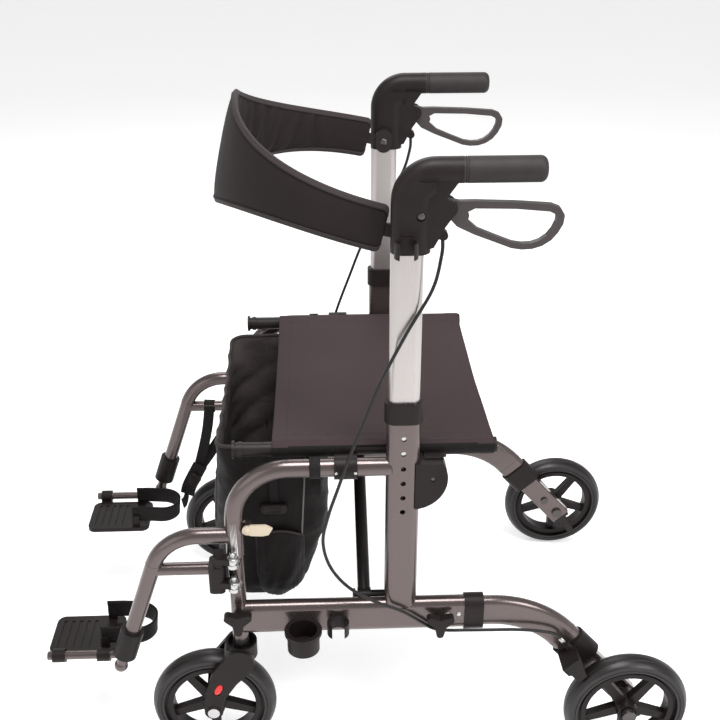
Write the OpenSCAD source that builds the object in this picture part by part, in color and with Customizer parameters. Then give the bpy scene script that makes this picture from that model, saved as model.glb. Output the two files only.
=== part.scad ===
// Rollator that converts to a transport chair: folding side frames, sling seat, bag, footrests and brakes.
// +X is forward, +Y is the chair's left, +Z is up, and the floor is at zero. Sizes are in millimetres.
$fn = 48;

/* [Wheels] */
// Outside diameter of the tyres
wheel_d = 200; // [190:1:206]
// Width of the tyres
tyre_w = 34; // [30:1:38]
// Radial depth of the tyre
tyre_h = 19; // [15:1:22]
// Width of the rim ring
rim_w = 26; // [22:1:29]
// Radial depth of the rim ring
rim_h = 14; // [11:1:17]
// Diameter of the wheel hubs
hub_d = 34; // [28:1:40]
// Length of the front hubs
front_hub_w = 38; // [34:1:39]
// Length of the rear hubs
rear_hub_w = 40; // [36:1:42]
// Number of spokes
spoke_count = 5; // [4:1:7]
// Spoke width at the hub
spoke_root = 17; // [13:1:20]
// Spoke width at the rim
spoke_tip = 12; // [9:1:15]
// Spoke thickness
spoke_t = 13; // [10:1:18]
// Diameter of the axles
axle_d = 12; // [10:1:14]

/* [Casters] */
// Fore-and-aft place of the caster stems
stem_x = 200; // [190:1:210]
// Distance of the front axle ahead of the stem
caster_trail = 48; // [40:1:54]
// Diameter of the caster stem
stem_d = 16; // [12:1:17]
// Length of the stem inside the column
stem_len = 66; // [50:1:72]
// Diameter of the fork head
head_d = 50; // [44:1:54]
// Height of the fork head's rim above the axle
fork_rise = 122; // [118:1:125]
// Thickness of each fork arm
fork_t = 8; // [6:1:11]
// Gap between tyre and fork arm
fork_gap = 4; // [3:0.5:6]
// Gap between tyre tread and fork crown
well_gap = 6; // [4:0.5:9]
// Length of the reflectors on the fork arms
reflector_l = 24; // [18:1:27]

/* [Side frame] */
// Distance of each side frame from the middle of the chair
side_y = 258; // [252:1:268]
// Fore-and-aft place of the uprights
upright_x = -52; // [-60:1:-46]
// Upright size fore and aft
upright_w = 50; // [46:1:54]
// Upright thickness
upright_t = 26; // [24:1:28]
// Height of the upright's top end
upright_top = 642; // [625:1:660]
// Height of the lower tube's middle above the axles
tube_rise = 170; // [164:1:176]
// Height of the lower tube's section
lower_h = 57; // [52:1:60]
// Thickness of the lower tube's section
lower_t = 27; // [25:1:29]
// Rear end of the lower tube
lower_rear = -165; // [-172:1:-158]
// Wall of the upright and of the lower tube
tube_wall = 2; // [1.6:0.1:2.4]
// Diameter of the bent front leg
leg_d = 28; // [25:1:31]
// Height of the leg's level run
leg_z = 541; // [536:1:544]
// Bend radius of the front leg
leg_bend = 85; // [70:1:95]
// Diameter of the slim column under the leg
column_d = 25; // [23:1:28]
// Gap between the fork head's rim and the column
column_gap = 6; // [5:1:14]
// Height where the column meets the leg
column_top = 398; // [396:1:410]
// Diameter of the height holes
hole_d = 8; // [6:0.5:9]
// Spacing of the height holes
hole_pitch = 25; // [20:1:28]
// Number of height holes
hole_count = 6; // [3:1:6]
// Distance of the first height hole below the upright's top
hole_drop = 49; // [42:1:58]

/* [Brackets] */
// Fore-and-aft middle of the rail saddle
saddle_x = 32; // [26:1:40]
// Length of the rail saddle along the rail
saddle_l = 34; // [24:1:38]
// Radius of the curved rear rail support
support_r = 52; // [46:1:58]
// Thickness of the rear rail support
support_t = 28; // [22:1:30]
// Length of the collar on the upright
collar_l = 32; // [26:1:38]
// Length of the collar on the rear tube end
rear_collar_l = 30; // [24:1:36]
// Wall of the collars
collar_wall = 3; // [2:0.5:4]

/* [Knobs and latch] */
// Height of the front knob
front_knob_z = 284; // [278:1:290]
// Fore-and-aft place of the rear knob
rear_knob_x = -113; // [-122:1:-104]
// Reach of each knob lobe
knob_r = 18; // [14:1:22]
// Thickness of the knob lobes
knob_t = 13; // [10:1:16]
// Diameter of the knob hub
knob_hub_d = 19; // [16:1:24]
// Diameter of the knob stud
stud_d = 6; // [4:0.5:7]
// Length of the latch lever
latch_l = 38; // [28:1:44]
// Height of the latch lever's axis
latch_z = 440; // [434:1:446]
// Thickness of the latch lever
latch_t = 4; // [3:0.5:6]

/* [Rear legs] */
// Length of the rear leg inside the lower tube
rear_insert = 90; // [82:1:100]
// Where the rear leg starts to bend
rear_bend_x = -195; // [-205:1:-190]
// Bend radius of the rear leg
rear_bend_r = 160; // [140:1:175]
// Bend angle of the rear leg
rear_bend_angle = 48; // [42:1:52]
// Width of the flat wheel bar
bar_w = 40; // [34:1:44]
// Thickness of the flat wheel bar
bar_t = 18; // [14:1:20]
// Length of the bent tube below its bend
drop_tube = 40; // [34:1:44]
// Distance of the rear wheel outside the frame
rear_wheel_out = 40; // [38:1:44]
// Gap between the brake block and the tyre
brake_gap = 3; // [2:0.5:5]
// Length of the kerb pedal
pedal_l = 50; // [38:1:56]

/* [Handles] */
// Height of the grip's axis
grip_z = 987; // [970:1:1000]
// Diameter of the grip and thickness of the housing
grip_d = 35; // [31:1:36]
// Length of the grip
grip_l = 110; // [100:1:130]
// Housing size fore and aft
sleeve_w = 54; // [50:1:58]
// Distance of the housing's bend from its outside
elbow_out = 58.5; // [56:0.5:62]
// Height of the housing's lower end below the grip
housing_drop = 111; // [104:1:118]
// Length of the handle tube inside the upright
handle_insert = 89; // [85:1:92]
// Wall of the handle tube
handle_wall = 1.6; // [1.2:0.1:2]
// Thickness of the brake lever
lever_t = 10; // [8:1:12]
// Length of the brake lever behind its pivot
lever_l = 149; // [138:1:154]
// Drop of the lever's lower bar below its pivot
lever_drop = 56; // [50:1:60]
// Width of the lever's bars
lever_w = 9; // [8:0.5:9.5]
// Diameter of the brake lever's pin
lever_pin_d = 6; // [5:0.5:7]
// Diameter of the spring buttons
button_d = 7; // [5:0.5:7.5]

/* [Seat and brace] */
// Distance of each seat rail from the middle of the chair
rail_y = 226; // [222:1:228]
// Height of the seat rails
rail_z = 555; // [550:1:560]
// Diameter of the seat rails
rail_d = 22; // [20:0.5:23]
// Front end of the seat rails
rail_front = 196; // [186:1:206]
// Rear end of the seat rails and of the seat
rail_rear = -191; // [-198:1:-180]
// Front edge of the seat
seat_front = 140; // [125:1:146]
// Sag of the seat in its middle
seat_sag = 10; // [6:1:16]
// Thickness of the seat fabric
fabric_t = 2.2; // [1.6:0.1:2.6]
// Fore-and-aft place of the cross brace
brace_x = -9; // [-12:1:-4]
// Height of the brace's lower pivots
pivot_z = 280; // [276:1:284]
// Diameter of the brace tubes
arm_d = 20; // [17:1:22]
// Diameter of the brace pivots
pivot_d = 10; // [8:1:11]

/* [Bag] */
// Front face of the bag
bag_front = 234; // [220:1:240]
// Rear face of the bag
bag_rear = 57; // [54:1:70]
// Half width of the bag
bag_half = 203; // [185:1:206]
// Height of the bag's floor
bag_bottom = 268; // [250:1:290]
// Thickness of the bag's walls
bag_wall = 3; // [2:0.5:4]

/* [Backrest] */
// Reach of the backrest ahead of its hinge
back_reach = 259; // [240:1:270]
// Height of the backrest in its middle
back_mid_h = 167; // [150:1:180]
// Height of the backrest at its ends
back_end_h = 63; // [50:1:75]
// Padding thickness in the middle
back_t = 20; // [14:1:24]
// Upward tilt of the backrest
back_tilt = 13; // [10:1:16]
// How pointed the band's front is, from round at 1 to a parabola at 2
back_point = 1.2; // [1:0.1:1.6]

/* [Footrests] */
// Height of the lower hinge lug
lug_z = 346; // [342:1:350]
// Spacing of the hinge lugs
lug_step = 44; // [38:1:46]
// Distance of the hinge pins outside the column
hinge_out = 23; // [22:1:26]
// Diameter of the hinge pins
hinge_pin_d = 8; // [6:0.5:9]
// Height of the hanger's level run
hanger_z = 425; // [420:1:430]
// Diameter of the hanger tube
hanger_d = 25; // [22:1:27]
// Bend radius of the hanger
hanger_bend = 75; // [65:1:85]
// Bend angle of the hanger
hanger_angle = 71; // [66:1:75]
// Diameter of the hanger's brace tube
hanger_brace_d = 20; // [16:1:22]
// Diameter of the footplate's hinge rod
rod_d = 14; // [11:1:15]
// Height of the footplate's hinge rod
rod_z = 178; // [172:1:184]
// Distance of the hinge rod inside the frame
rod_in = 26; // [24:1:30]
// Length of the footplate
plate_l = 115.8; // [100:0.1:125]
// Width of the footplate
plate_w = 90; // [78:1:96]
// Thickness of the footplate
plate_t = 8; // [6:0.5:9]
// Height of the heel strap
strap_h = 34; // [26:1:38]
// Thickness of the heel strap
strap_t = 3; // [2:0.5:4]

/* [Cane holder] */
// Fore-and-aft place of the cane cup
cup_x = 100; // [92:1:106]
// Outside diameter of the cane cup
cup_d = 50; // [46:1:52]
// Wall of the cane cup
cup_wall = 3; // [2:0.5:4]
// Depth of the cane cup
cup_h = 36; // [32:1:44]
// Fore-and-aft place of the lower cane clip
clip_x = 46; // [42:1:50]
// Inside diameter of the cane clips
clip_d = 26; // [22:1:28]

/* [Fits] */
// Radial clearance of turning pins
run_gap = 0.05; // [0.03:0.01:0.09]
// Clearance of the sliding tubes on each side
slide_gap = 0.5; // [0.4:0.05:0.7]
// Gap between pieces that rest on each other
rest_gap = 0.3; // [0.2:0.05:0.5]
// Gap of pieces that are pushed onto a tube
push_gap = 0.1; // [0.05:0.05:0.2]

/* [Hidden] */
wheel_r = wheel_d / 2;
lower_z = wheel_r + tube_rise;
fork_top = wheel_r + fork_rise;
column_bottom = fork_top + column_gap;
hole_top = upright_top - hole_drop;
rim_r = wheel_r - tyre_h;
rim_in = rim_r - rim_h;
axle_x = stem_x + caster_trail;
fork_in = tyre_w + 2 * fork_gap;
fork_w = fork_in + 2 * fork_t;
upright_in_w = upright_w - 2 * tube_wall;
upright_in_t = upright_t - 2 * tube_wall;
handle_w = upright_in_w - 2 * slide_gap;
handle_t = upright_in_t - 2 * slide_gap;
rear_h = lower_h - 2 * tube_wall - 2 * slide_gap;
rear_t = lower_t - 2 * tube_wall - 2 * slide_gap;
drop_x = rear_bend_x - rear_bend_r * sin(rear_bend_angle);
drop_z = lower_z - rear_bend_r * (1 - cos(rear_bend_angle));
drop_len = (drop_z - wheel_r) / sin(rear_bend_angle);
tread_at = drop_len - wheel_r;
cable_stop = tread_at - 54;
rail_in = rail_y - side_y;
wrap_r = rail_d / 2 + fabric_t + rest_gap / 2;
groove_r = wrap_r + rest_gap;
sleeve_x = upright_x - 4;
housing_z = grip_z - housing_drop;
elbow_r = elbow_out - sleeve_w / 2;
elbow_x = sleeve_x - elbow_r;
elbow_z = grip_z + grip_d / 2 - elbow_out;
seam_x = elbow_x - 34;
handle_top = elbow_z;
lever_x = upright_x - 52;
lever_z = grip_z - 49;
arm_x = upright_x + 2;
arm_z = housing_z + 17;
arm_hub_t = 12;
back_start = 28;
arm_shift = arm_d / 2 + 2;
arm_lean = atan2(rail_z - pivot_z, 2 * rail_y);
arm_len = norm([2 * rail_y, rail_z - pivot_z]);
pivot_hub_d = pivot_d + 14;
hub_half = arm_d / 2 + 0.5;
ear_at = arm_shift + arm_d / 2 + 4;
ear_t = 4;
hinge_x = stem_x + 3;
ear_h = 10;
hanger_start = stem_x + 55;
slope_x = hanger_start + hanger_bend * sin(hanger_angle);
slope_z = hanger_z - hanger_bend * (1 - cos(hanger_angle));
slope_len = (slope_z - rod_z) / sin(hanger_angle);
rod_x = slope_x + slope_len * cos(hanger_angle);
clamp_from = slope_len - 76;
clamp_l = 52;
hanger_brace_z = lug_z + 19;
plate_x = rod_x + 10;
plate_edge = rod_in + 14;
knuckle_d = rod_d + 8;
cup_rim = cup_d + 8;
cup_out = lower_t / 2 + cup_d / 2 + 1.5;
cup_z = lower_z - 32;
clip_r = clip_d / 2;
clip_wall = 4;
latch_x = stem_x - leg_d / 2 - 6;
reflector_lean = 24;
seam_gap = 0.5;
seam_w = 4;
seam_t = 0.3;

frame_grey = [0.50, 0.46, 0.45];
silver = [0.83, 0.83, 0.84];
charcoal = [0.20, 0.19, 0.19];
black = [0.10, 0.10, 0.10];
lever_grey = [0.45, 0.43, 0.42];
cloth = [0.33, 0.30, 0.30];
beige = [0.78, 0.72, 0.62];

// Height on the cable's upper run, as a share of the way up to the handle housing
cable_mid = leg_z - 71;
function cable_z(share) = cable_mid + (housing_z - cable_mid) * share;

// Place of the cable beside the rear leg's straight end, by the distance along it
function cable_drop(along) = [
    drop_x - cos(rear_bend_angle) * along, side_y + 20, drop_z - sin(rear_bend_angle) * along
];

// Route of the left brake cable, from the lever housing to the brake body
cable_route = [
    [lever_x + 5, side_y, housing_z + 15.8], [lever_x + 6, side_y + 2, housing_z - 6],
    [lever_x + 18, side_y + 12, cable_z(0.874)], [upright_x, side_y + 20, cable_z(0.727)],
    [-16, side_y + 23, cable_z(0.542)], [10, side_y + 25, cable_z(0.369)],
    [28, side_y + 26, cable_z(0.246)], [44, side_y + 26, cable_z(0.123)],
    [59, side_y + 24, cable_mid], [67, side_y + 22, cable_mid - 46], [57, side_y + 21, cable_mid - 92],
    [30, side_y + 20, lower_z + 68], [-10, side_y + 20, lower_z + 39], [upright_x, side_y + 20, lower_z + 19],
    [rear_knob_x + 29, side_y + 20, lower_z - 4], [rear_knob_x + 10, side_y + 19, lower_z - 18],
    [lower_rear + 40, side_y + 19, lower_z - 23], [lower_rear + 10, side_y + 20, lower_z - 23],
    [rear_bend_x, side_y + 21, lower_z - 23], [drop_x + 79, side_y + 21, lower_z - 24],
    [drop_x + 44, side_y + 21, lower_z - 28], cable_drop(-22), cable_drop(cable_stop - 0.7)
];
cable_d = 5;
cable_sides = 8;
cable_steps = 3;

// Stadium outline with its long side along X
module oval(long, short) {
    flat = long - short;
    square([flat, short], center = true);
    for (side = [-1, 1])
        translate([side * flat / 2, 0]) circle(d = short);
}

// Stadium outline with its long side along Y
module tall_oval(high, thick) {
    rotate(90) oval(high, thick);
}

// Rectangle with round corners, from its lower left corner
module round_plate(size, r) {
    translate([r, 0]) square([size[0] - 2 * r, size[1]]);
    translate([0, r]) square([size[0], size[1] - 2 * r]);
    for (x = [r, size[0] - r], y = [r, size[1] - r])
        translate([x, y]) circle(r = r);
}

// Tapered bar with round ends between two points
module link(from, to, width_from, width_to) {
    along = to - from;
    lean = atan2(along[1], along[0]);
    tangent = acos((width_from - width_to) / 2 / norm(along));
    left = [cos(lean + tangent), sin(lean + tangent)];
    right = [cos(lean - tangent), sin(lean - tangent)];
    polygon([
        from + left * width_from / 2, from + right * width_from / 2,
        to + right * width_to / 2, to + left * width_to / 2
    ]);
    translate(from) circle(d = width_from);
    translate(to) circle(d = width_to);
}

// Row of tapered bars through a list of points
module chain(points, widths) {
    for (i = [0 : len(points) - 2])
        link(points[i], points[i + 1], widths[i], widths[i + 1]);
}

// Extrudes an outline drawn in X and Z, centred on the plane
module side_plate(thick) {
    rotate([90, 0, 0]) linear_extrude(thick, center = true) children();
}

// Extrudes an outline drawn in Y and Z along X
module along_x(length) {
    rotate([90, 0, 90]) linear_extrude(length) children();
}

// Round bar along Y from one offset to another
module cross_pin(x, z, d, from, to) {
    translate([x, from, z]) rotate([-90, 0, 0]) cylinder(d = d, h = to - from);
}

// Round bar along X from one place to another
module long_pin(y, z, d, from, to) {
    translate([from, y, z]) rotate([0, 90, 0]) cylinder(d = d, h = to - from);
}

// Bent round or oval tube: sweeps an outline about Y from one angle by another
module bend(x, z, from, angle, radius) {
    translate([x, 0, z]) rotate([90, 0, 0]) rotate([0, 0, from])
        rotate_extrude(angle = angle, $fn = 96) translate([radius, 0]) children();
}

module on_left() {
    translate([0, side_y, 0]) children();
}

module on_right() {
    mirror([0, 1, 0]) on_left() children();
}

// Frame of the rear leg's straight end: X runs down it from the bend to the axle
module on_drop() {
    translate([drop_x, 0, drop_z]) rotate([0, 180 - rear_bend_angle, 0]) children();
}

// Frame of the hanger's sloping run: X runs down it from the bend
module on_slope() {
    translate([slope_x, 0, slope_z]) rotate([0, hanger_angle, 0]) children();
}

// Tyre with a crowned tread, two tread grooves and a line on each sidewall
module tyre() {
    crown_r = tyre_w * 0.7;
    rotate([90, 0, 0]) rotate_extrude($fn = 96) difference() {
        intersection() {
            translate([rim_r + push_gap, -tyre_w / 2]) square([tyre_h - push_gap, tyre_w]);
            translate([wheel_r - crown_r, 0]) circle(r = crown_r);
        }
        for (side = [-1, 1]) {
            translate([wheel_r, side * tyre_w / 5]) circle(r = 1.6);
            translate([rim_r + tyre_h / 4, side * tyre_w / 2]) circle(r = 1.2);
        }
    }
}

// Spoked rim with a stepped ring and a bored hub
module rim(hub_w) {
    difference() {
        union() {
            rotate([90, 0, 0]) rotate_extrude($fn = 96) {
                translate([rim_in, -rim_w / 2]) square([rim_h * 0.6, rim_w]);
                translate([rim_in, -rim_w / 2 + 3]) square([rim_h, rim_w - 6]);
            }
            for (i = [0 : spoke_count - 1])
                rotate([0, i * 360 / spoke_count + 18, 0]) side_plate(spoke_t)
                    link([hub_d / 2 - 4, 0], [rim_in + spoke_tip / 4, 0], spoke_root, spoke_tip);
            cross_pin(0, 0, hub_d, -hub_w / 2, hub_w / 2);
        }
        cross_pin(0, 0, axle_d + 2 * run_gap, -hub_w, hub_w);
        for (side = [-1, 1])
            translate([0, side * hub_w / 2, 0]) rotate([90, 0, 0])
                cylinder(d = hub_d - 8, h = 4, center = true);
    }
}

module at_front_axle() {
    translate([axle_x, 0, wheel_r]) children();
}

module at_rear_axle() {
    on_drop() translate([drop_len, 0, 0]) rotate([0, rear_bend_angle - 180, 0])
        translate([0, rear_wheel_out, 0]) children();
}

// Curved caster fork with a crown over the wheel and a cup round the stem
module fork() {
    difference() {
        union() {
            side_plate(fork_w) chain(
                [
                    [stem_x + 3, fork_top - head_d / 2],
                    [stem_x + caster_trail * 0.54, fork_top - head_d * 1.04],
                    [axle_x - 5, wheel_r * 1.34], [axle_x, wheel_r]
                ],
                head_d * [0.96, 0.88, 0.66, 0.6]);
            translate([stem_x, 0, fork_top - 27]) cylinder(d = head_d, h = 27);
        }
        cross_pin(axle_x, wheel_r, wheel_d + 2 * well_gap, -fork_in / 2, fork_in / 2);
        translate([stem_x, 0, fork_top - 9]) cylinder(d = head_d - 8, h = 10);
        translate([stem_x - 40, -fork_w, fork_top]) cube([80, 2 * fork_w, 20]);
        translate([stem_x, 0, wheel_r + 70]) cylinder(d = stem_d + 2 * push_gap, h = 60);
        cross_pin(axle_x, wheel_r, axle_d + 2 * push_gap, -fork_w, fork_w);
        for (side = [-1, 1])
            translate([axle_x - caster_trail / 5, side * fork_w / 2, wheel_r * 1.45])
                side_plate(3) rotate(reflector_lean) tall_oval(reflector_l, reflector_l / 2);
    }
}

// Caster stem with its bearing collar, and the front axle with its two heads
module caster_hardware() {
    stem_low = wheel_r + sqrt(pow(wheel_r + well_gap, 2) - pow(caster_trail - stem_d / 2, 2)) + 2;
    translate([stem_x, 0, stem_low]) cylinder(d = stem_d, h = column_bottom + stem_len - 1 - stem_low);
    translate([stem_x, 0, fork_top - 9 + push_gap])
        cylinder(d = column_d, h = column_bottom - rest_gap - fork_top + 9 - push_gap);
    cross_pin(axle_x, wheel_r, axle_d, -fork_w / 2 - 4, fork_w / 2 + 4);
    for (side = [-1, 1])
        cross_pin(axle_x, wheel_r, axle_d + 7, side * (fork_w / 2 + 2) - 2, side * (fork_w / 2 + 2) + 2);
}

// Bent front leg: level run, bend and upright run
module leg_tube() {
    long_pin(0, leg_z, leg_d, upright_x + upright_w / 2 - 8, stem_x - leg_bend);
    bend(stem_x - leg_bend, leg_z - leg_bend, 0, 90, leg_bend) circle(d = leg_d);
    translate([stem_x, 0, column_top - 6]) cylinder(d = leg_d, h = leg_z - leg_bend - column_top + 6);
}

// Hinge lugs with upright pins that carry the footrest
module hinge_lugs() {
    for (z = [lug_z, lug_z + lug_step]) {
        translate([0, 0, z - 6]) linear_extrude(6)
            link([stem_x, 0], [hinge_x, hinge_out], column_d - 4, hinge_pin_d + 10);
        translate([hinge_x, hinge_out, z - 1]) cylinder(d = hinge_pin_d, h = ear_h + 5);
        translate([hinge_x, hinge_out, z + ear_h + 4]) sphere(d = hinge_pin_d);
    }
}

// Welded side frame: lower tube, upright, bent leg, column and hinge lugs
module side_frame() {
    difference() {
        union() {
            translate([lower_rear, 0, lower_z]) along_x(stem_x - lower_rear) tall_oval(lower_h, lower_t);
            translate([upright_x, 0, lower_z]) linear_extrude(upright_top - lower_z) oval(upright_w, upright_t);
            leg_tube();
            translate([stem_x, 0, column_bottom]) cylinder(d = column_d, h = column_top - column_bottom);
            hinge_lugs();
            cross_pin(latch_x, latch_z, 15, -8, 8);
            cross_pin(latch_x, latch_z, stud_d, 0, 8 + latch_t + 1);
        }
        translate([lower_rear - 1, 0, lower_z]) along_x(stem_x - column_d - lower_rear)
            tall_oval(lower_h - 2 * tube_wall, lower_t - 2 * tube_wall);
        translate([upright_x, 0, lower_z + lower_h / 2 + 1]) linear_extrude(upright_top)
            oval(upright_in_w, upright_in_t);
        translate([stem_x, 0, column_bottom - 1]) cylinder(d = stem_d + 2 * run_gap, h = stem_len + 1);
        for (i = [0 : hole_count - 1])
            cross_pin(upright_x, hole_top - i * hole_pitch, hole_d, upright_in_t / 2 - 2, upright_t);
        cross_pin(stem_x, front_knob_z, stud_d + 2 * run_gap, column_d / 2 - 3.5, column_d);
        cross_pin(rear_knob_x, lower_z, stud_d + 2 * run_gap, lower_t / 2 - tube_wall - 1, lower_t);
        translate([stem_x, column_d / 2, column_bottom + stem_len + 26]) side_plate(5) tall_oval(34, 6);
    }
}

// Plastic collars on the upright's top end and on the lower tube's rear end
module frame_collars() {
    lip = 8;
    difference() {
        translate([upright_x, 0, upright_top + lip - collar_l]) linear_extrude(collar_l)
            oval(upright_w + 2 * collar_wall, upright_t + 2 * collar_wall);
        translate([upright_x, 0, upright_top - collar_l]) linear_extrude(collar_l)
            oval(upright_w + 2 * push_gap, upright_t + 2 * push_gap);
        translate([upright_x, 0, upright_top - 1]) linear_extrude(lip + 2)
            oval(handle_w + 2 * rest_gap, handle_t + 2 * rest_gap);
    }
    rear_lip = rear_collar_l * 0.6;
    difference() {
        translate([lower_rear - rear_lip, 0, lower_z]) along_x(rear_collar_l)
            tall_oval(lower_h + 2 * collar_wall, lower_t + 2 * collar_wall);
        translate([lower_rear, 0, lower_z]) along_x(rear_collar_l)
            tall_oval(lower_h + 2 * push_gap, lower_t + 2 * push_gap);
        translate([lower_rear - rear_lip - 1, 0, lower_z]) along_x(rear_lip + 2)
            tall_oval(rear_h + 2 * rest_gap, rear_t + 2 * rest_gap);
    }
}

// Saddle that carries the seat rail on the level leg run
module rail_saddle() {
    translate([saddle_x - saddle_l / 2, 0, 0]) along_x(saddle_l) difference() {
        union() {
            translate([0, leg_z]) circle(d = leg_d + 8);
            polygon([
                [rail_in - groove_r - 3, rail_z - 2], [rail_in - groove_r - 3, rail_z - groove_r - 4],
                [rail_in + 10, rail_z - groove_r - 12], [0, leg_z - leg_d / 2 - 4],
                [0, leg_z + leg_d / 2], [rail_in + groove_r + 2, rail_z - 2]
            ]);
        }
        translate([0, leg_z]) circle(d = leg_d + 2 * push_gap);
        translate([rail_in, rail_z]) circle(r = groove_r);
    }
}

// D-shaped support behind the upright with a cradle for the seat rail
module rear_support() {
    front = upright_x - upright_w / 2 + 7;
    top = rail_z - 4;
    difference() {
        union() {
            side_plate(support_t) intersection() {
                translate([front + 4, top - support_r / 2]) circle(r = support_r);
                translate([front - support_r, top - 2 * support_r]) square([support_r, 2 * support_r]);
            }
            translate([front - 42, 0, 0]) along_x(28) polygon([
                [rail_in - groove_r - 3, rail_z - 2], [rail_in - groove_r - 3, rail_z - groove_r - 4],
                [0, rail_z - groove_r - 14], [0, rail_z - 2]
            ]);
        }
        translate([upright_x, 0, lower_z]) linear_extrude(upright_top)
            oval(upright_w + 2 * push_gap, upright_t + 2 * push_gap);
        translate([front - 50, 0, 0]) along_x(80) translate([rail_in, rail_z]) circle(r = groove_r);
        cross_pin(front - support_r / 2, top - support_r / 2, 8, support_t / 2 - 2, support_t);
    }
}

// Clevis on the lower tube with the brace's lower pivot pin; ahead is 1 or -1 for the arm's place
module brace_clevis(ahead) {
    face = -lower_t / 2 - push_gap;
    difference() {
        union() {
            translate([brace_x - ear_at - ear_t, face - 4, lower_z - lower_h / 4])
                cube([2 * (ear_at + ear_t), 4, lower_h / 2]);
            for (x = [-ear_at - ear_t, ear_at])
                translate([brace_x + x, 0, 0]) along_x(ear_t)
                    link([face - 3, lower_z], [rail_in, pivot_z], lower_h / 2, pivot_d + 12);
        }
        translate([brace_x - 60, face, lower_z - 50]) cube([120, 40, 100]);
    }
    long_pin(rail_in, pivot_z, pivot_d, brace_x - ear_at - 1, brace_x + ear_at + 1);
    translate([brace_x, 0, 0]) mirror([ahead > 0 ? 0 : 1, 0, 0])
        long_pin(rail_in, pivot_z, pivot_d + 6, -ear_at - 0.5, arm_shift - hub_half - rest_gap);
}

module frame_brackets(ahead) {
    rail_saddle();
    rear_support();
    brace_clevis(ahead);
}

// Three-lobe knob with its stud; its axis runs outward along Y
module knob(stud) {
    rotate([-90, 0, 0]) {
        translate([0, 0, rest_gap]) cylinder(d = knob_hub_d, h = 11);
        translate([0, 0, 10]) linear_extrude(knob_t) for (turn = [90, 210, 330])
            rotate(turn) link([0, 0], [knob_r, 0], knob_hub_d, knob_hub_d * 0.6);
        translate([0, 0, -stud]) cylinder(d = stud_d, h = stud + 2);
    }
}

module front_knob() {
    face = max(column_d, lower_t) / 2;
    translate([stem_x, face, front_knob_z]) knob(face - column_d / 2 + 3);
}

module rear_knob() {
    translate([rear_knob_x, lower_t / 2, lower_z]) knob(tube_wall);
}

// Pointed latch lever on a rivet behind the leg
module footrest_latch() {
    tip = latch_x - latch_l;
    translate([0, 8 + rest_gap + latch_t / 2, 0]) side_plate(latch_t) difference() {
        union() {
            translate([latch_x, latch_z]) circle(d = 15);
            polygon([
                [latch_x + 2, latch_z + 5], [latch_x - 5, latch_z + 9], [tip + 10, latch_z + 9],
                [tip, latch_z + 3], [tip + 6, latch_z - 8], [tip + 15, latch_z - 10],
                [latch_x - 5, latch_z - 9], [latch_x + 2, latch_z - 5]
            ]);
        }
        translate([latch_x, latch_z]) circle(d = stud_d + 2 * run_gap);
    }
}

// Cup for the cane's foot and the lower cane clip, both on the left lower tube
module cane_holder() {
    pad_in = lower_t / 2 + push_gap;
    difference() {
        union() {
            translate([cup_x, cup_out, cup_z]) cylinder(d = cup_d, h = cup_h);
            translate([cup_x, cup_out, cup_z + cup_h - 6]) cylinder(d = cup_rim, h = 6);
            translate([cup_x - 13, pad_in, lower_z - 22]) cube([26, cup_out - pad_in, 24]);
        }
        translate([cup_x, cup_out, cup_z + 4]) cylinder(d = cup_d - 2 * cup_wall, h = cup_h);
        translate([cup_x - 20, -20, lower_z - 50]) cube([40, 20 + pad_in, 100]);
    }
    clip_out = pad_in + 4 + clip_r + clip_wall;
    difference() {
        union() {
            translate([clip_x, clip_out, lower_z - 9]) cylinder(r = clip_r + clip_wall, h = 22);
            translate([clip_x - 9, pad_in, lower_z - 9]) cube([18, clip_r, 22]);
        }
        translate([clip_x, clip_out, lower_z - 20]) cylinder(r = clip_r, h = 50);
        translate([clip_x - clip_r * 0.72, clip_out, lower_z - 20]) cube([clip_r * 1.44, 60, 50]);
    }
}

// Rear leg: sliding oval tube, bend, straight end and flat wheel bar
module rear_leg() {
    inner_end = lower_rear + rear_insert;
    difference() {
        union() {
            translate([rear_bend_x, 0, lower_z]) along_x(inner_end - rear_bend_x) tall_oval(rear_h, rear_t);
            bend(rear_bend_x, lower_z - rear_bend_r, 90, rear_bend_angle, rear_bend_r) oval(rear_h, rear_t);
            on_drop() translate([seam_gap, 0, 0]) along_x(drop_tube - seam_gap) tall_oval(rear_h, rear_t);
            on_drop() translate([-seam_w / 2, 0, 0]) along_x(seam_w)
                tall_oval(rear_h + 2 * seam_t, rear_t + 2 * seam_t);
            on_drop() translate([drop_tube - 4, 0, 0]) along_x(drop_len + 18 - drop_tube)
                translate([-bar_t / 2, -bar_w / 2]) round_plate([bar_t, bar_w], 3);
        }
        translate([rear_bend_x, 0, lower_z]) along_x(inner_end - rear_bend_x + 1)
            tall_oval(rear_h - 2 * tube_wall, rear_t - 2 * tube_wall);
        translate([0, -rear_wheel_out, 0]) at_rear_axle() cross_pin(0, 0, axle_d + 2 * push_gap, -bar_t, bar_t);
        on_drop() cross_pin(drop_len - 42, 0, 8 + 2 * push_gap, -bar_t, bar_t);
    }
}

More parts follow.
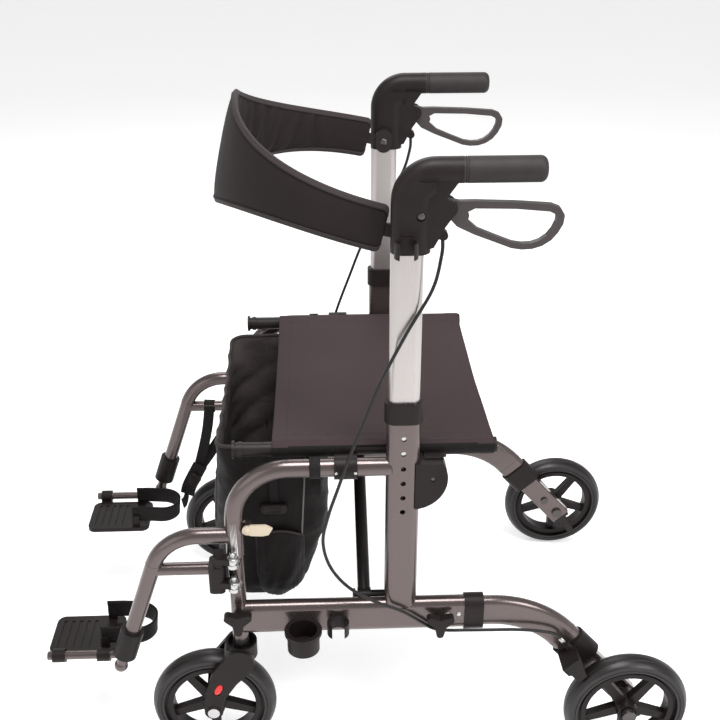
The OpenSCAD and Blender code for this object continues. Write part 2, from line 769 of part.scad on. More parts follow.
// Axle bolt with spacer and cap, and the second bolt of the wheel bar
module rear_hardware() {
    hub_in = -rear_hub_w / 2;
    at_rear_axle() {
        cross_pin(0, 0, axle_d, -rear_wheel_out - bar_t / 2 - 5, rear_hub_w / 2 + 1);
        cross_pin(0, 0, axle_d + 8, -rear_wheel_out - bar_t / 2 - 5, -rear_wheel_out - bar_t / 2);
        cross_pin(0, 0, axle_d + 8, -rear_wheel_out + bar_t / 2, hub_in - rest_gap);
        cross_pin(0, 0, axle_d + 10, rear_hub_w / 2 + rest_gap, rear_hub_w / 2 + 9);
    }
    on_drop() {
        cross_pin(drop_len - 42, 0, 8, -bar_t / 2 - 4, bar_t / 2 + 4);
        cross_pin(drop_len - 42, 0, 14, -bar_t / 2 - 4, -bar_t / 2);
        cross_pin(drop_len - 42, 0, 14, bar_t / 2, bar_t / 2 + 4);
    }
}

// Brake body round the tube's end, with a wedge to the tread and a cable stop
module brake_housing() {
    out_h = rear_h + 7;
    out_t = rear_t + 8;
    sleeve_from = tread_at - 42;
    wedge_in = rear_t / 2 + 2;
    wedge_out = rear_wheel_out + tyre_w / 2 - 4;
    on_drop() difference() {
        union() {
            translate([sleeve_from, 0, 0]) along_x(drop_tube + 20 - sleeve_from) tall_oval(out_h, out_t);
            difference() {
                translate([0, (wedge_in + wedge_out) / 2, 0]) side_plate(wedge_out - wedge_in) polygon([
                    [sleeve_from + 2, -8], [sleeve_from + 2, out_h / 2 - 5], [sleeve_from + 18, out_h / 2 - 5],
                    [sleeve_from + 20, out_h / 2 - 9], [tread_at + 8, out_h / 2 - 9],
                    [tread_at + 8, out_h / 2 - 21], [sleeve_from + 24, -2]
                ]);
                cross_pin(drop_len, 0, wheel_d + 2 * brake_gap, 0, 120);
            }
            long_pin(20, 0, 11, cable_stop, sleeve_from + 8);
        }
        along_x(drop_tube) tall_oval(rear_h + 2 * push_gap, rear_t + 2 * push_gap);
        translate([drop_tube - 1, -bar_t / 2 - push_gap, -bar_w / 2 - push_gap])
            cube([60, bar_t + 2 * push_gap, bar_w + 2 * push_gap]);
    }
}

// Kerb pedal behind the wheel bar's end
module tip_pedal() {
    foot = drop_len + 14 + push_gap;
    on_drop() {
        translate([foot, -bar_t / 2, -bar_w / 2 + 4]) cube([6, bar_t, bar_w - 8]);
        side_plate(14) link([foot + 7, 0], [foot + pedal_l, pedal_l * 0.16], 14, 12);
    }
}

// Oval handle tube with holes for the spring buttons
module handle_tube() {
    low = upright_top - handle_insert;
    difference() {
        translate([upright_x, 0, low]) linear_extrude(handle_top - low) oval(handle_w, handle_t);
        translate([upright_x, 0, low - 1]) linear_extrude(handle_top)
            oval(handle_w - 2 * handle_wall, handle_t - 2 * handle_wall);
        for (i = [0, 1])
            cross_pin(upright_x, hole_top - i * hole_pitch, button_d + 2 * rest_gap, 0, handle_t);
    }
}

// Spring leaf with two buttons that show through the height holes
module height_button() {
    tip = upright_in_t / 2 - rest_gap;
    leaf = handle_t / 2 - handle_wall - 4;
    for (i = [0, 1])
        cross_pin(upright_x, hole_top - i * hole_pitch, button_d, leaf, tip);
    translate([upright_x - 5, leaf - 1.2, hole_top - hole_pitch - 8]) cube([10, 1.4, hole_pitch + 16]);
}

// Moulded handle housing: sleeve, swept bend, lever clevis, cable boss and cane clip seat
module handle_housing(with_clip) {
    difference() {
        union() {
            translate([sleeve_x, 0, housing_z]) linear_extrude(elbow_z - housing_z) oval(sleeve_w, grip_d);
            bend(elbow_x, elbow_z, 0, 90, elbow_r) oval(sleeve_w, grip_d);
            long_pin(0, grip_z, grip_d, seam_x, elbow_x);
            side_plate(grip_d * 0.74) {
                polygon([
                    [elbow_x + 4, elbow_z + 6], [elbow_x - 14, elbow_z + 7],
                    [seam_x + 5, grip_z - grip_d / 2 + 5], [elbow_x + 4, grip_z]
                ]);
                polygon([
                    [sleeve_x - 16, housing_z + 5], [sleeve_x - sleeve_w / 2 - 3, housing_z + 9],
                    [lever_x + 3, lever_z - 24], [lever_x - 11, lever_z - 4],
                    [elbow_x - 14, elbow_z + 7], [elbow_x + 10, elbow_z + 10]
                ]);
                translate([lever_x, lever_z]) circle(d = 24);
            }
            side_plate(13) link([lever_x + 16, housing_z + 30], [lever_x + 5, housing_z + 23], 16, 13);
            long_pin(0, grip_z, grip_d * 0.55, seam_x - grip_l * 0.7, seam_x + 2);
            if (with_clip) cane_clip_arm();
        }
        translate([upright_x, 0, housing_z - 1]) linear_extrude(handle_top - housing_z + 1)
            oval(handle_w + 2 * push_gap, handle_t + 2 * push_gap);
        side_plate(lever_t + 2 * rest_gap) {
            chain([on_lever(0, 0), on_lever(0.16, 0.11), on_lever(0.4, 0.36)], lever_w * [3, 4.4, 6.7]);
            link(on_lever(0, 0), on_lever(0.1, 0.45), lever_w * 3, lever_w * 3);
        }
        cross_pin(upright_x - 16, housing_z + 53, 13, grip_d / 2 - 4, grip_d);
        for (side = [-1, 1])
            translate([elbow_x + 6, side * grip_d / 2, grip_z - 9]) side_plate(3) oval(34, 5);
        if (with_clip) translate([upright_x + 4, grip_d / 2 + clip_r + 3, housing_z - 5])
            cylinder(r = clip_r, h = 50);
    }
    cross_pin(lever_x, lever_z, lever_pin_d, -grip_d * 0.37, grip_d * 0.37);
    cross_pin(arm_x, arm_z, 8, -grip_d / 2 - arm_hub_t, -handle_t / 2 - 2);
}

// Upper cane clip on the outside of the left housing
module cane_clip_arm() {
    translate([upright_x - 3, grip_d / 2 - 2, housing_z + 4]) cube([14, 8, 22]);
    difference() {
        translate([upright_x + 4, grip_d / 2 + clip_r + 3, housing_z + 4]) cylinder(r = clip_r + 3, h = 22);
        translate([upright_x + 4 - clip_r * 0.72, grip_d / 2 + clip_r + 3, housing_z])
            cube([clip_r * 1.44, 60, 40]);
    }
}

// Round grip with a swelling middle and a domed end
module grip() {
    r = grip_d / 2;
    end_r = 9;
    translate([seam_x - push_gap, 0, grip_z]) rotate([0, -90, 0]) rotate_extrude($fn = 72) difference() {
        union() {
            square([r, grip_l - end_r]);
            square([r - end_r, grip_l]);
            translate([r - end_r, grip_l - end_r]) circle(r = end_r);
        }
        translate([-1, -1]) square([grip_d * 0.275 + push_gap + 1, grip_l * 0.7 + 2]);
        translate([-2 * r, -r]) square([2 * r, 2 * grip_l]);
        for (i = [1, 2])
            translate([r, i * 3]) circle(r = 0.8);
    }
}

// Place on the lever: share of its length behind the pivot and share of its drop
function on_lever(along, drop) = [lever_x - lever_l * along, lever_z - lever_drop * drop];

// Loop brake lever in the plane of the handle
module brake_lever() {
    root = on_lever(0.07, 0.07);
    side_plate(lever_t) difference() {
        union() {
            chain(
                [
                    on_lever(0, 0), on_lever(0.09, 0.04), on_lever(0.23, -0.05), on_lever(0.6, -0.02),
                    on_lever(0.91, 0.05), on_lever(0.97, 0.12), on_lever(1, 0.25), on_lever(0.995, 0.42),
                    on_lever(0.96, 0.62), on_lever(0.91, 0.79), on_lever(0.84, 0.92), on_lever(0.76, 0.99),
                    on_lever(0.67, 1), on_lever(0.58, 0.96), on_lever(0.44, 0.81), on_lever(0.255, 0.61),
                    on_lever(0.115, 0.36), on_lever(0.06, 0.14)
                ],
                lever_w * [
                    2.4, 2.2, 1.1, 1, 1.1, 1.2, 1.2, 1.15, 1.05, 1, 0.95, 0.9, 0.9, 0.9, 0.9, 1, 1.75, 2.2
                ]);
            link(root, on_lever(0.128, 0.214), lever_w * 2.2, lever_w * 2);
        }
        translate([lever_x, lever_z]) circle(d = lever_pin_d + 2 * run_gap);
    }
}

// Flat backrest arm on a hub beside the housing
module backrest_arm() {
    face = -grip_d / 2 - rest_gap;
    difference() {
        translate([0, face - arm_hub_t / 2, 0]) side_plate(arm_hub_t)
            link([arm_x, arm_z - 5], [arm_x, arm_z + 7], 28, 28);
        cross_pin(arm_x, arm_z, 8 + 2 * run_gap, -80, 0);
    }
    difference() {
        translate([arm_x, face - arm_hub_t / 2, arm_z]) rotate([0, -back_tilt, 0])
            translate([8, -2.5, -9]) cube([back_start - 8 - rest_gap, 5, 18]);
        cross_pin(arm_x, arm_z, 20, -80, 0);
    }
}

// Footrest hanger: level run, bend, sloping run, brace tube and footplate rod
module footrest_hanger() {
    difference() {
        union() {
            long_pin(0, hanger_z, hanger_d, stem_x, hanger_start);
            translate([hanger_start, 0, hanger_z - hanger_bend]) mirror([1, 0, 0])
                bend(0, 0, 90, hanger_angle, hanger_bend) circle(d = hanger_d);
            on_slope() long_pin(0, 0, hanger_d, seam_gap, clamp_from + clamp_l - 4);
            on_slope() long_pin(0, 0, hanger_d + 2 * seam_t, -seam_w / 2, seam_w / 2);
            on_slope() long_pin(0, 0, rod_d + 4, clamp_from, slope_len);
            long_pin(0, hanger_brace_z, hanger_brace_d, stem_x + 41, slope_x);
            translate([rod_x, 0, rod_z]) sphere(d = rod_d + 8);
            cross_pin(rod_x, rod_z, rod_d, -rod_in, 0);
            translate([rod_x, -rod_in, rod_z]) sphere(d = rod_d + 3);
            long_pin(-rod_in, rod_z, rod_d, rod_x, plate_x + plate_l - 4);
        }
        translate([stem_x, 0, hanger_z - 40]) cylinder(d = leg_d + 2 * rest_gap, h = 80);
    }
}

// Hinge bracket with two ears on the lug pins, and the clamp of the footplate's tube
module footrest_fittings() {
    block_x = stem_x + 17;
    block_low = lug_z - 10;
    difference() {
        union() {
            translate([block_x, -9, block_low]) linear_extrude(lug_step + 2)
                round_plate([24, hinge_out + 13], 7);
            translate([block_x + 0.5, 2, block_low]) linear_extrude(lug_step + ear_h + 12)
                round_plate([15, hinge_out + 1], 5);
            for (z = [lug_z, lug_z + lug_step])
                translate([0, 0, z + rest_gap]) linear_extrude(ear_h)
                    link([hinge_x, hinge_out], [block_x + 8, hinge_out - 4], hinge_pin_d + 9, 16);
        }
        for (z = [lug_z, lug_z + lug_step])
            translate([hinge_x, hinge_out, z - 5]) cylinder(d = hinge_pin_d + 2 * run_gap, h = 40);
        long_pin(0, hanger_z, hanger_d + 2 * push_gap, stem_x, hanger_start);
    }
    on_slope() difference() {
        long_pin(0, 0, hanger_d + 12, clamp_from, clamp_from + clamp_l);
        long_pin(0, 0, hanger_d + 2 * push_gap, clamp_from - 1, clamp_from + clamp_l - 4 + push_gap);
        long_pin(0, 0, rod_d + 4 + 2 * push_gap, clamp_from, clamp_from + clamp_l + 1);
    }
}

// Ribbed footplate with two knuckles on the rod and two strap ears
module footplate() {
    top = rod_z - 6;
    inner = plate_edge + plate_w;
    difference() {
        union() {
            translate([plate_x, -inner, top - plate_t]) linear_extrude(plate_t)
                round_plate([plate_l, plate_w], 14);
            for (x = [plate_x + 12, plate_x + plate_l - 32]) {
                long_pin(-rod_in, rod_z, knuckle_d, x, x + 20);
                translate([x, -plate_edge - 8, top - plate_t]) cube([20, plate_edge - rod_in + 8, plate_t]);
            }
            for (y = [-plate_edge - 10, -inner + 6])
                translate([plate_x + 16, y, top - 2]) cube([14, 4, strap_h * 0.7]);
        }
        long_pin(-rod_in, rod_z, rod_d + 2 * run_gap, plate_x - 20, plate_x + plate_l + 20);
        for (i = [1 : 5])
            translate([plate_x + 34 + i * 13, -inner + 12, top - 1.5]) cube([5, plate_w - 24, 4]);
    }
}

// Heel strap: a webbing loop behind the footplate, held on its two ears
module heel_strap() {
    outer = -plate_edge - 10 - rest_gap;
    inner = -plate_edge - plate_w + 10 + rest_gap;
    r = (outer - inner) / 2;
    mid = (outer + inner) / 2;
    low = rod_z;
    arc_x = plate_x - 24;
    reach = plate_x + 30 - arc_x;
    translate([arc_x, mid, low]) linear_extrude(strap_h) difference() {
        union() {
            circle(r = r, $fn = 72);
            translate([0, -r]) square([reach, 2 * r]);
        }
        circle(r = r - strap_t, $fn = 72);
        translate([0, strap_t - r]) square([reach + 1, 2 * (r - strap_t)]);
    }
}

// Seat rail with its front end cap, along X
module seat_rail() {
    long_pin(0, 0, rail_d, rail_rear, rail_front);
    long_pin(0, 0, rail_d + 6, rail_front - 1, rail_front + 3);
    long_pin(0, 0, rail_d + 3, rail_front - 12, rail_front - 6);
    long_pin(0, 0, rail_d + 2, rail_rear - 3, rail_rear + 0.5);
}

// One cross brace arm with its hubs and the seat rail of the far side, drawn for the left lower pivot
module cross_arm(x, bored) {
    difference() {
        union() {
            translate([x, rail_y, pivot_z]) rotate([90 - arm_lean, 0, 0]) cylinder(d = arm_d, h = arm_len);
            long_pin(rail_y, pivot_z, pivot_hub_d, x - hub_half, x + hub_half);
            long_pin(0, (pivot_z + rail_z) / 2, pivot_hub_d, x - hub_half, x + hub_half);
            translate([0, -rail_y, rail_z]) seat_rail();
        }
        long_pin(rail_y, pivot_z, pivot_d + 2 * run_gap, x - 30, x + 30);
        if (bored) long_pin(0, (pivot_z + rail_z) / 2, pivot_d + 2 * run_gap, x - 30, x + 30);
    }
}

module cross_frame_a() {
    color(black) cross_arm(brace_x + arm_shift, false);
    mid_z = (pivot_z + rail_z) / 2;
    reach = arm_shift + hub_half + rest_gap;
    color(black) {
        long_pin(0, mid_z, pivot_d, brace_x - reach - 2, brace_x + reach + 2);
        long_pin(0, mid_z, pivot_d + 8, brace_x + reach, brace_x + reach + 5);
        long_pin(0, mid_z, pivot_d + 8, brace_x - reach - 5, brace_x - reach);
        long_pin(0, mid_z, pivot_d + 10,
            brace_x - arm_shift + hub_half + rest_gap, brace_x + arm_shift - hub_half + 1);
    }
}

module cross_frame_b() {
    color(black) mirror([0, 1, 0]) cross_arm(brace_x - arm_shift, true);
}

// Sling seat wrapped round both rails, with a notch for each brace arm
module seat() {
    round_r = (rail_y * rail_y + seat_sag * seat_sag) / (2 * seat_sag);
    top = rail_z + wrap_r;
    color(cloth) difference() {
        translate([rail_rear + 1, 0, 0]) along_x(seat_front - rail_rear - 1) {
            for (side = [-1, 1]) translate([side * rail_y, rail_z]) difference() {
                circle(r = wrap_r);
                circle(r = rail_d / 2 + rest_gap / 2);
            }
            intersection() {
                translate([0, top - seat_sag + round_r]) difference() {
                    circle(r = round_r + fabric_t, $fn = 1440);
                    circle(r = round_r, $fn = 1440);
                }
                translate([-rail_y, top - 2 * seat_sag]) square([2 * rail_y, 3 * seat_sag]);
            }
        }
        for (side = [-1, 1])
            translate([brace_x - 27, side * rail_y - 16, rail_z - 20]) cube([54, 32, 28]);
        translate([rail_rear - 1, -side_y, rail_z - 20]) cube([2, 2 * side_y, 34]);
    }
}

// Side outline of the bag, drawn in by an inset
module bag_outline(inset, top) {
    polygon([
        [bag_rear + inset, top], [bag_rear + 6 + inset, bag_bottom + 120],
        [bag_rear + 34 + inset, bag_bottom + 30], [bag_rear + 52 + inset / 2, bag_bottom + inset],
        [bag_front - 14 - inset / 2, bag_bottom + inset],
        [bag_front - 4 - inset, bag_bottom + 16], [bag_front - inset, top]
    ]);
}

// Open under-seat bag that hangs on the level leg runs by two loops
module bag() {
    loop_x = bag_rear + 10;
    loop_r = leg_d / 2 + rest_gap;
    color(black) {
        difference() {
            side_plate(2 * bag_half) bag_outline(0, rail_z - 10);
            side_plate(2 * bag_half - 2 * bag_wall) bag_outline(bag_wall, rail_z);
        }
        for (side = [0, 1]) mirror([0, side, 0])
            translate([loop_x, 0, 0]) along_x(20) difference() {
                union() {
                    translate([side_y, leg_z]) circle(r = loop_r + 2.4);
                    polygon([
                        [bag_half - 0.1, leg_z - 44], [bag_half - 0.1, leg_z - 48],
                        [side_y - 9, leg_z - loop_r], [side_y - 12, leg_z - loop_r + 4]
                    ]);
                }
                translate([side_y, leg_z]) circle(r = loop_r);
            }
    }
}

// Points of one ring of a swept tube
function ring(centre, side, up, radius, sides) = [
    for (k = [0 : sides - 1])
        centre + radius * (cos(360 * k / sides) * side + sin(360 * k / sides) * up)
];

// Point of a smooth curve through four neighbours
function smooth(a, b, c, d, t) = 0.5 * (2 * b + (c - a) * t + (2 * a - 5 * b + 4 * c - d) * t * t
    + (3 * b - a - 3 * c + d) * t * t * t);

// Points along a route, with a number of steps between each two
function along_route(route, steps) = [
    for (i = [0 : len(route) - 2], k = [0 : steps - 1])
        smooth(route[max(i - 1, 0)], route[i], route[i + 1], route[min(i + 2, len(route) - 1)], k / steps),
    route[len(route) - 1]
];

function unit(v) = v / norm(v);

// Faces that join rings of equal size and close both ends
function tube_faces(rings, sides) = [
    for (i = [0 : rings - 2], k = [0 : sides - 1]) each [
        [i * sides + k, i * sides + (k + 1) % sides, (i + 1) * sides + k],
        [i * sides + (k + 1) % sides, (i + 1) * sides + (k + 1) % sides, (i + 1) * sides + k]
    ],
    for (k = [1 : sides - 2]) each [
        [0, k + 1, k],
        [(rings - 1) * sides, (rings - 1) * sides + k, (rings - 1) * sides + k + 1]
    ]
];

module brake_cable() {
    path = along_route(cable_route, cable_steps);
    count = len(path);
    rings = [
        for (i = [0 : count - 1])
            let (ahead = unit(path[min(i + 1, count - 1)] - path[max(i - 1, 0)]),
                side = unit(cross(ahead, [0, 1, 0])), up = cross(side, ahead))
            each ring(path[i], side, up, cable_d / 2, cable_sides)
    ];
    polyhedron(rings, tube_faces(count, cable_sides), convexity = 6);
}

// Padded backrest band: a swept section with a crown, thin edges and gathers on its inner face
module backrest() {
    sides = 14;
    count = 57;
    gathers = 9;
    half = side_y - grip_d / 2 - rest_gap - arm_hub_t / 2;
    reach = back_reach - back_start;
    rings = [
        for (i = [0 : count - 1])
            let (turn = 180 * i / (count - 1) - 90,
                centre = [back_start + reach * pow(cos(turn), back_point), half * sin(turn)],
                out = unit([half * pow(cos(turn), 2 - back_point), reach * back_point * sin(turn)]),
                high = back_end_h + (back_mid_h - back_end_h) * pow(1 - abs(sin(turn)), 1.5),
                thick = back_t * (0.6 + 0.4 * cos(turn)),
                gather = 0.22 * pow(cos(turn), 2) * sin(360 * gathers * i / (count - 1)))
            for (k = [0 : sides - 1])
                let (a = 360 * k / sides,
                    lift = sign(cos(a)) * pow(abs(cos(a)), 0.75) * high / 2,
                    pad = sin(a) * thick / 2 * (sin(a) < 0 ? 1 + gather : 1))
                [centre[0] + out[0] * pad, centre[1] + out[1] * pad, lift]
    ];
    color(black) translate([arm_x, 0, arm_z]) rotate([0, -back_tilt, 0])
        polyhedron(rings, tube_faces(count, sides), convexity = 6);
}

module front_wheel_tyre() { at_front_axle() tyre(); }
module front_wheel_rim() { at_front_axle() rim(front_hub_w); }
module rear_wheel_tyre() { at_rear_axle() tyre(); }
module rear_wheel_rim() { at_rear_axle() rim(rear_hub_w); }

module side_frame_left() { color(frame_grey) on_left() side_frame(); }
module side_frame_right() { color(frame_grey) on_right() side_frame(); }
module frame_collars_left() { color(charcoal) on_left() frame_collars(); }
module frame_collars_right() { color(charcoal) on_right() frame_collars(); }
module frame_brackets_left() { color(charcoal) on_left() frame_brackets(1); }
module frame_brackets_right() { color(charcoal) on_right() frame_brackets(-1); }
module front_knob_left() { color(charcoal) on_left() front_knob(); }
module front_knob_right() { color(charcoal) on_right() front_knob(); }
module rear_knob_left() { color(charcoal) on_left() rear_knob(); }
module rear_knob_right() { color(charcoal) on_right() rear_knob(); }
module cane_holder_left() { color(charcoal) on_left() cane_holder(); }
module fork_left() { color(charcoal) on_left() fork(); }
module fork_right() { color(charcoal) on_right() fork(); }
module caster_hardware_left() { color(silver) on_left() caster_hardware(); }
module caster_hardware_right() { color(silver) on_right() caster_hardware(); }
module front_tyre_left() { color(black) on_left() front_wheel_tyre(); }
module front_tyre_right() { color(black) on_right() front_wheel_tyre(); }
module front_rim_left() { color(charcoal) on_left() front_wheel_rim(); }
module front_rim_right() { color(charcoal) on_right() front_wheel_rim(); }
module rear_leg_left() { color(frame_grey) on_left() rear_leg(); }
module rear_leg_right() { color(frame_grey) on_right() rear_leg(); }
module rear_hardware_left() { color(silver) on_left() rear_hardware(); }
module rear_hardware_right() { color(silver) on_right() rear_hardware(); }
module brake_housing_left() { color(charcoal) on_left() brake_housing(); }
module brake_housing_right() { color(charcoal) on_right() brake_housing(); }
module tip_pedal_left() { color(black) on_left() tip_pedal(); }
module tip_pedal_right() { color(black) on_right() tip_pedal(); }
module rear_tyre_left() { color(black) on_left() rear_wheel_tyre(); }
module rear_tyre_right() { color(black) on_right() rear_wheel_tyre(); }
module rear_rim_left() { color(charcoal) on_left() rear_wheel_rim(); }
module rear_rim_right() { color(charcoal) on_right() rear_wheel_rim(); }
module handle_tube_left() { color(silver) on_left() handle_tube(); }
module handle_tube_right() { color(silver) on_right() handle_tube(); }
module height_button_left() { color(silver) on_left() height_button(); }
module height_button_right() { color(silver) on_right() height_button(); }
module handle_housing_left() { color(charcoal) on_left() handle_housing(true); }
module handle_housing_right() { color(charcoal) on_right() handle_housing(false); }
module grip_left() { color(charcoal) on_left() grip(); }
module grip_right() { color(charcoal) on_right() grip(); }
module brake_lever_left() { color(lever_grey) on_left() brake_lever(); }
module brake_lever_right() { color(lever_grey) on_right() brake_lever(); }
module brake_cable_left() { color(black) brake_cable(); }
module brake_cable_right() { color(black) mirror([0, 1, 0]) brake_cable(); }
module backrest_arm_left() { color(black) on_left() backrest_arm(); }
module backrest_arm_right() { color(black) on_right() backrest_arm(); }
module footrest_hanger_left() { color(frame_grey) on_left() footrest_hanger(); }
module footrest_hanger_right() { color(frame_grey) on_right() footrest_hanger(); }
module footrest_fittings_left() { color(charcoal) on_left() footrest_fittings(); }
module footrest_fittings_right() { color(charcoal) on_right() footrest_fittings(); }
module footrest_latch_left() { color(beige) on_left() footrest_latch(); }
module footrest_latch_right() { color(beige) on_right() footrest_latch(); }
module footplate_left() { color(charcoal) on_left() footplate(); }
module footplate_right() { color(charcoal) on_right() footplate(); }
module heel_strap_left() { color(black) on_left() heel_strap(); }
module heel_strap_right() { color(black) on_right() heel_strap(); }

side_frame_left();
side_frame_right();
frame_collars_left();
frame_collars_right();
frame_brackets_left();
frame_brackets_right();
front_knob_left();
front_knob_right();
rear_knob_left();
rear_knob_right();
cane_holder_left();
fork_left();
fork_right();
caster_hardware_left();
caster_hardware_right();
front_tyre_left();
front_tyre_right();
front_rim_left();
front_rim_right();
rear_leg_left();
rear_leg_right();
rear_hardware_left();
rear_hardware_right();
brake_housing_left();
brake_housing_right();
tip_pedal_left();
tip_pedal_right();
rear_tyre_left();
rear_tyre_right();
rear_rim_left();
rear_rim_right();
handle_tube_left();
handle_tube_right();
height_button_left();
height_button_right();
handle_housing_left();
handle_housing_right();
grip_left();
grip_right();
brake_lever_left();
brake_lever_right();
brake_cable_left();
brake_cable_right();
backrest_arm_left();
backrest_arm_right();
footrest_hanger_left();
footrest_hanger_right();
footrest_fittings_left();
footrest_fittings_right();
footrest_latch_left();
footrest_latch_right();
footplate_left();
footplate_right();
heel_strap_left();
heel_strap_right();
cross_frame_a();
cross_frame_b();
seat();
bag();
backrest();
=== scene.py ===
"""Looks of the rollator transport chair: camera, light, materials, cloth pieces and trims on the frame."""
import math

import bpy
import numpy as np
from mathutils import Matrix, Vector


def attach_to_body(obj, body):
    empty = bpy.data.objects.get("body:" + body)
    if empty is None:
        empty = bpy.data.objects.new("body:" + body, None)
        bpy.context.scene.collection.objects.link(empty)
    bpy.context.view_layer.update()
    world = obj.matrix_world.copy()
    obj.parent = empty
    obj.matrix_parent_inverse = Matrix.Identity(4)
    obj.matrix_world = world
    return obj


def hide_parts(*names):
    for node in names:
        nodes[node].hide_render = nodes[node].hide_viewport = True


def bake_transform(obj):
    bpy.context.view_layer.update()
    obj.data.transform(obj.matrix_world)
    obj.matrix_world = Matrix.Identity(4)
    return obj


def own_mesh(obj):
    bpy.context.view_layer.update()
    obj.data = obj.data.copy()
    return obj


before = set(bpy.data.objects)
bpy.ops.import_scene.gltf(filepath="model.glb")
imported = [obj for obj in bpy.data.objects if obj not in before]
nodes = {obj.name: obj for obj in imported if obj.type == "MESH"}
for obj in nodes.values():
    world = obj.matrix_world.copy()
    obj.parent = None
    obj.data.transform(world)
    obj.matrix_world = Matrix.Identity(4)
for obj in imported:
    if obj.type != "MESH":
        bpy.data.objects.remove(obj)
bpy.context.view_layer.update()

# Main places of the frame, in metres, as the solids have them
SIDE_Y = 0.258
RAIL_Y = 0.226
RAIL_Z = 0.555
RAIL_D = 0.022
RAIL_REAR = -0.191
SEAT_FRONT = 0.140
BRACE_X = -0.009
LEG_Z = 0.541
LEG_D = 0.028
PLATE_X = 0.4035
SIDES = (("left", 1), ("right", -1))


# Camera, light and floor

WHITE = (1.0, 1.0, 1.0, 1.0)
HORIZON_STRENGTH = 0.94
UPPER_STRENGTH = 0.45
FADE_HEIGHT = 0.45
FLOOR_HALF = 30
FLOOR_GLOW = 0.46


def link_aimed(name, data, place, direction):
    """A camera or lamp at its place in the scene, looking in a direction."""
    item = bpy.data.objects.new(name, data)
    item.location = place
    item.rotation_euler = direction.to_track_quat("-Z", "Y").to_euler()
    bpy.context.scene.collection.objects.link(item)
    return item


def make_camera():
    """The camera that was solved from the photograph's tubes and wheels, for a square picture."""
    data = bpy.data.cameras.new("camera")
    data.lens = 54.05
    data.sensor_width = 36.0
    ahead = Vector((-0.03655, -0.8947, -0.4452))
    bpy.context.scene.camera = link_aimed("camera", data, (0.0659, 1.6064, 1.3868), ahead)


def area_light(name, place, aim, size, power):
    data = bpy.data.lights.new(name, "AREA")
    data.energy = power
    data.size = size
    link_aimed(name, data, place, Vector(aim) - Vector(place))


def make_studio():
    """White studio: a surround brightest at the horizon, four soft lamps and a floor that glows a little."""
    world = bpy.data.worlds.new("studio")
    world.use_nodes = True
    tree = world.node_tree
    background = tree.nodes["Background"]
    background.inputs["Color"].default_value = WHITE
    direction = tree.nodes.new("ShaderNodeSeparateXYZ")
    tree.links.new(tree.nodes.new("ShaderNodeTexCoord").outputs["Generated"], direction.inputs["Vector"])
    fade = tree.nodes.new("ShaderNodeMapRange")
    set_sockets(fade, {"From Max": FADE_HEIGHT, "To Min": HORIZON_STRENGTH, "To Max": UPPER_STRENGTH})
    tree.links.new(direction.outputs["Z"], fade.inputs["Value"])
    tree.links.new(fade.outputs["Result"], background.inputs["Strength"])
    bpy.context.scene.world = world
    bpy.context.scene.view_settings.view_transform = "Standard"
    area_light("top", (0.0, 0.7, 2.9), (0.0, 0.1, 0.4), 1.1, 60)
    area_light("key", (-2.0, 1.9, 2.4), (0.0, 0.0, 0.5), 1.4, 60)
    area_light("fill", (2.3, 1.7, 1.7), (0.0, 0.0, 0.5), 2.0, 14)
    area_light("back", (0.3, -2.4, 2.6), (0.0, 0.0, 0.5), 1.8, 30)
    mesh = bpy.data.meshes.new("floor")
    corners = [(x * FLOOR_HALF, y * FLOOR_HALF, 0) for x, y in ((-1, -1), (1, -1), (1, 1), (-1, 1))]
    mesh.from_pydata(corners, [], [(0, 1, 2, 3)])
    floor = bpy.data.objects.new("floor", mesh)
    bpy.context.scene.collection.objects.link(floor)
    paper = speckled("floor", (0.80, 0.80, 0.80), 0.7, 0.01, 3, 0.02, 400, specular=0.1)
    shader = paper.node_tree.nodes["Principled BSDF"]
    set_sockets(shader, {"Emission Color": WHITE, "Emission Strength": FLOOR_GLOW})
    mesh.materials.append(paper)


# Materials: each has colour variation, roughness variation and a bump from its own nodes

def set_sockets(node, sockets):
    for socket, value in sockets.items():
        node.inputs[socket].default_value = value
    return node


def add_node(tree, kind, **sockets):
    return set_sockets(tree.nodes.new(kind), sockets)


def start_material(name, coordinates, rough, metallic=0.0):
    """New material with its node tree, its shader and the coordinates of its textures."""
    material = bpy.data.materials.new(name)
    material.use_nodes = True
    tree = material.node_tree
    shader = tree.nodes["Principled BSDF"]
    set_sockets(shader, {"Roughness": rough, "Metallic": metallic})
    return material, tree, shader, tree.nodes.new("ShaderNodeTexCoord").outputs[coordinates]


def noise_of(tree, coordinates, scale, detail=4.0, stretch=None):
    """Noise in the piece's own coordinates, stretched along an axis where a brushed finish needs it."""
    if stretch is not None:
        mapping = add_node(tree, "ShaderNodeMapping", Scale=stretch)
        tree.links.new(coordinates, mapping.inputs["Vector"])
        coordinates = mapping.outputs["Vector"]
    noise = add_node(tree, "ShaderNodeTexNoise", Scale=scale, Detail=detail)
    tree.links.new(coordinates, noise.inputs["Vector"])
    return noise.outputs["Fac"]


def link_colour(tree, shader, factor, colour, spread):
    """Colour that runs from a little darker to a little lighter with a texture."""
    ramp = tree.nodes.new("ShaderNodeValToRGB")
    for element, position, share in zip(ramp.color_ramp.elements, (0.3, 0.7), (1 - spread, 1 + spread)):
        element.position = position
        element.color = [min(c * share, 1) for c in colour] + [1]
    tree.links.new(factor, ramp.inputs["Fac"])
    tree.links.new(ramp.outputs["Color"], shader.inputs["Base Color"])


def link_roughness(tree, shader, factor, low, high):
    """Roughness that runs from low to high with a texture."""
    spread = set_sockets(tree.nodes.new("ShaderNodeMapRange"), {"To Min": low, "To Max": high})
    tree.links.new(factor, spread.inputs["Value"])
    tree.links.new(spread.outputs["Result"], shader.inputs["Roughness"])


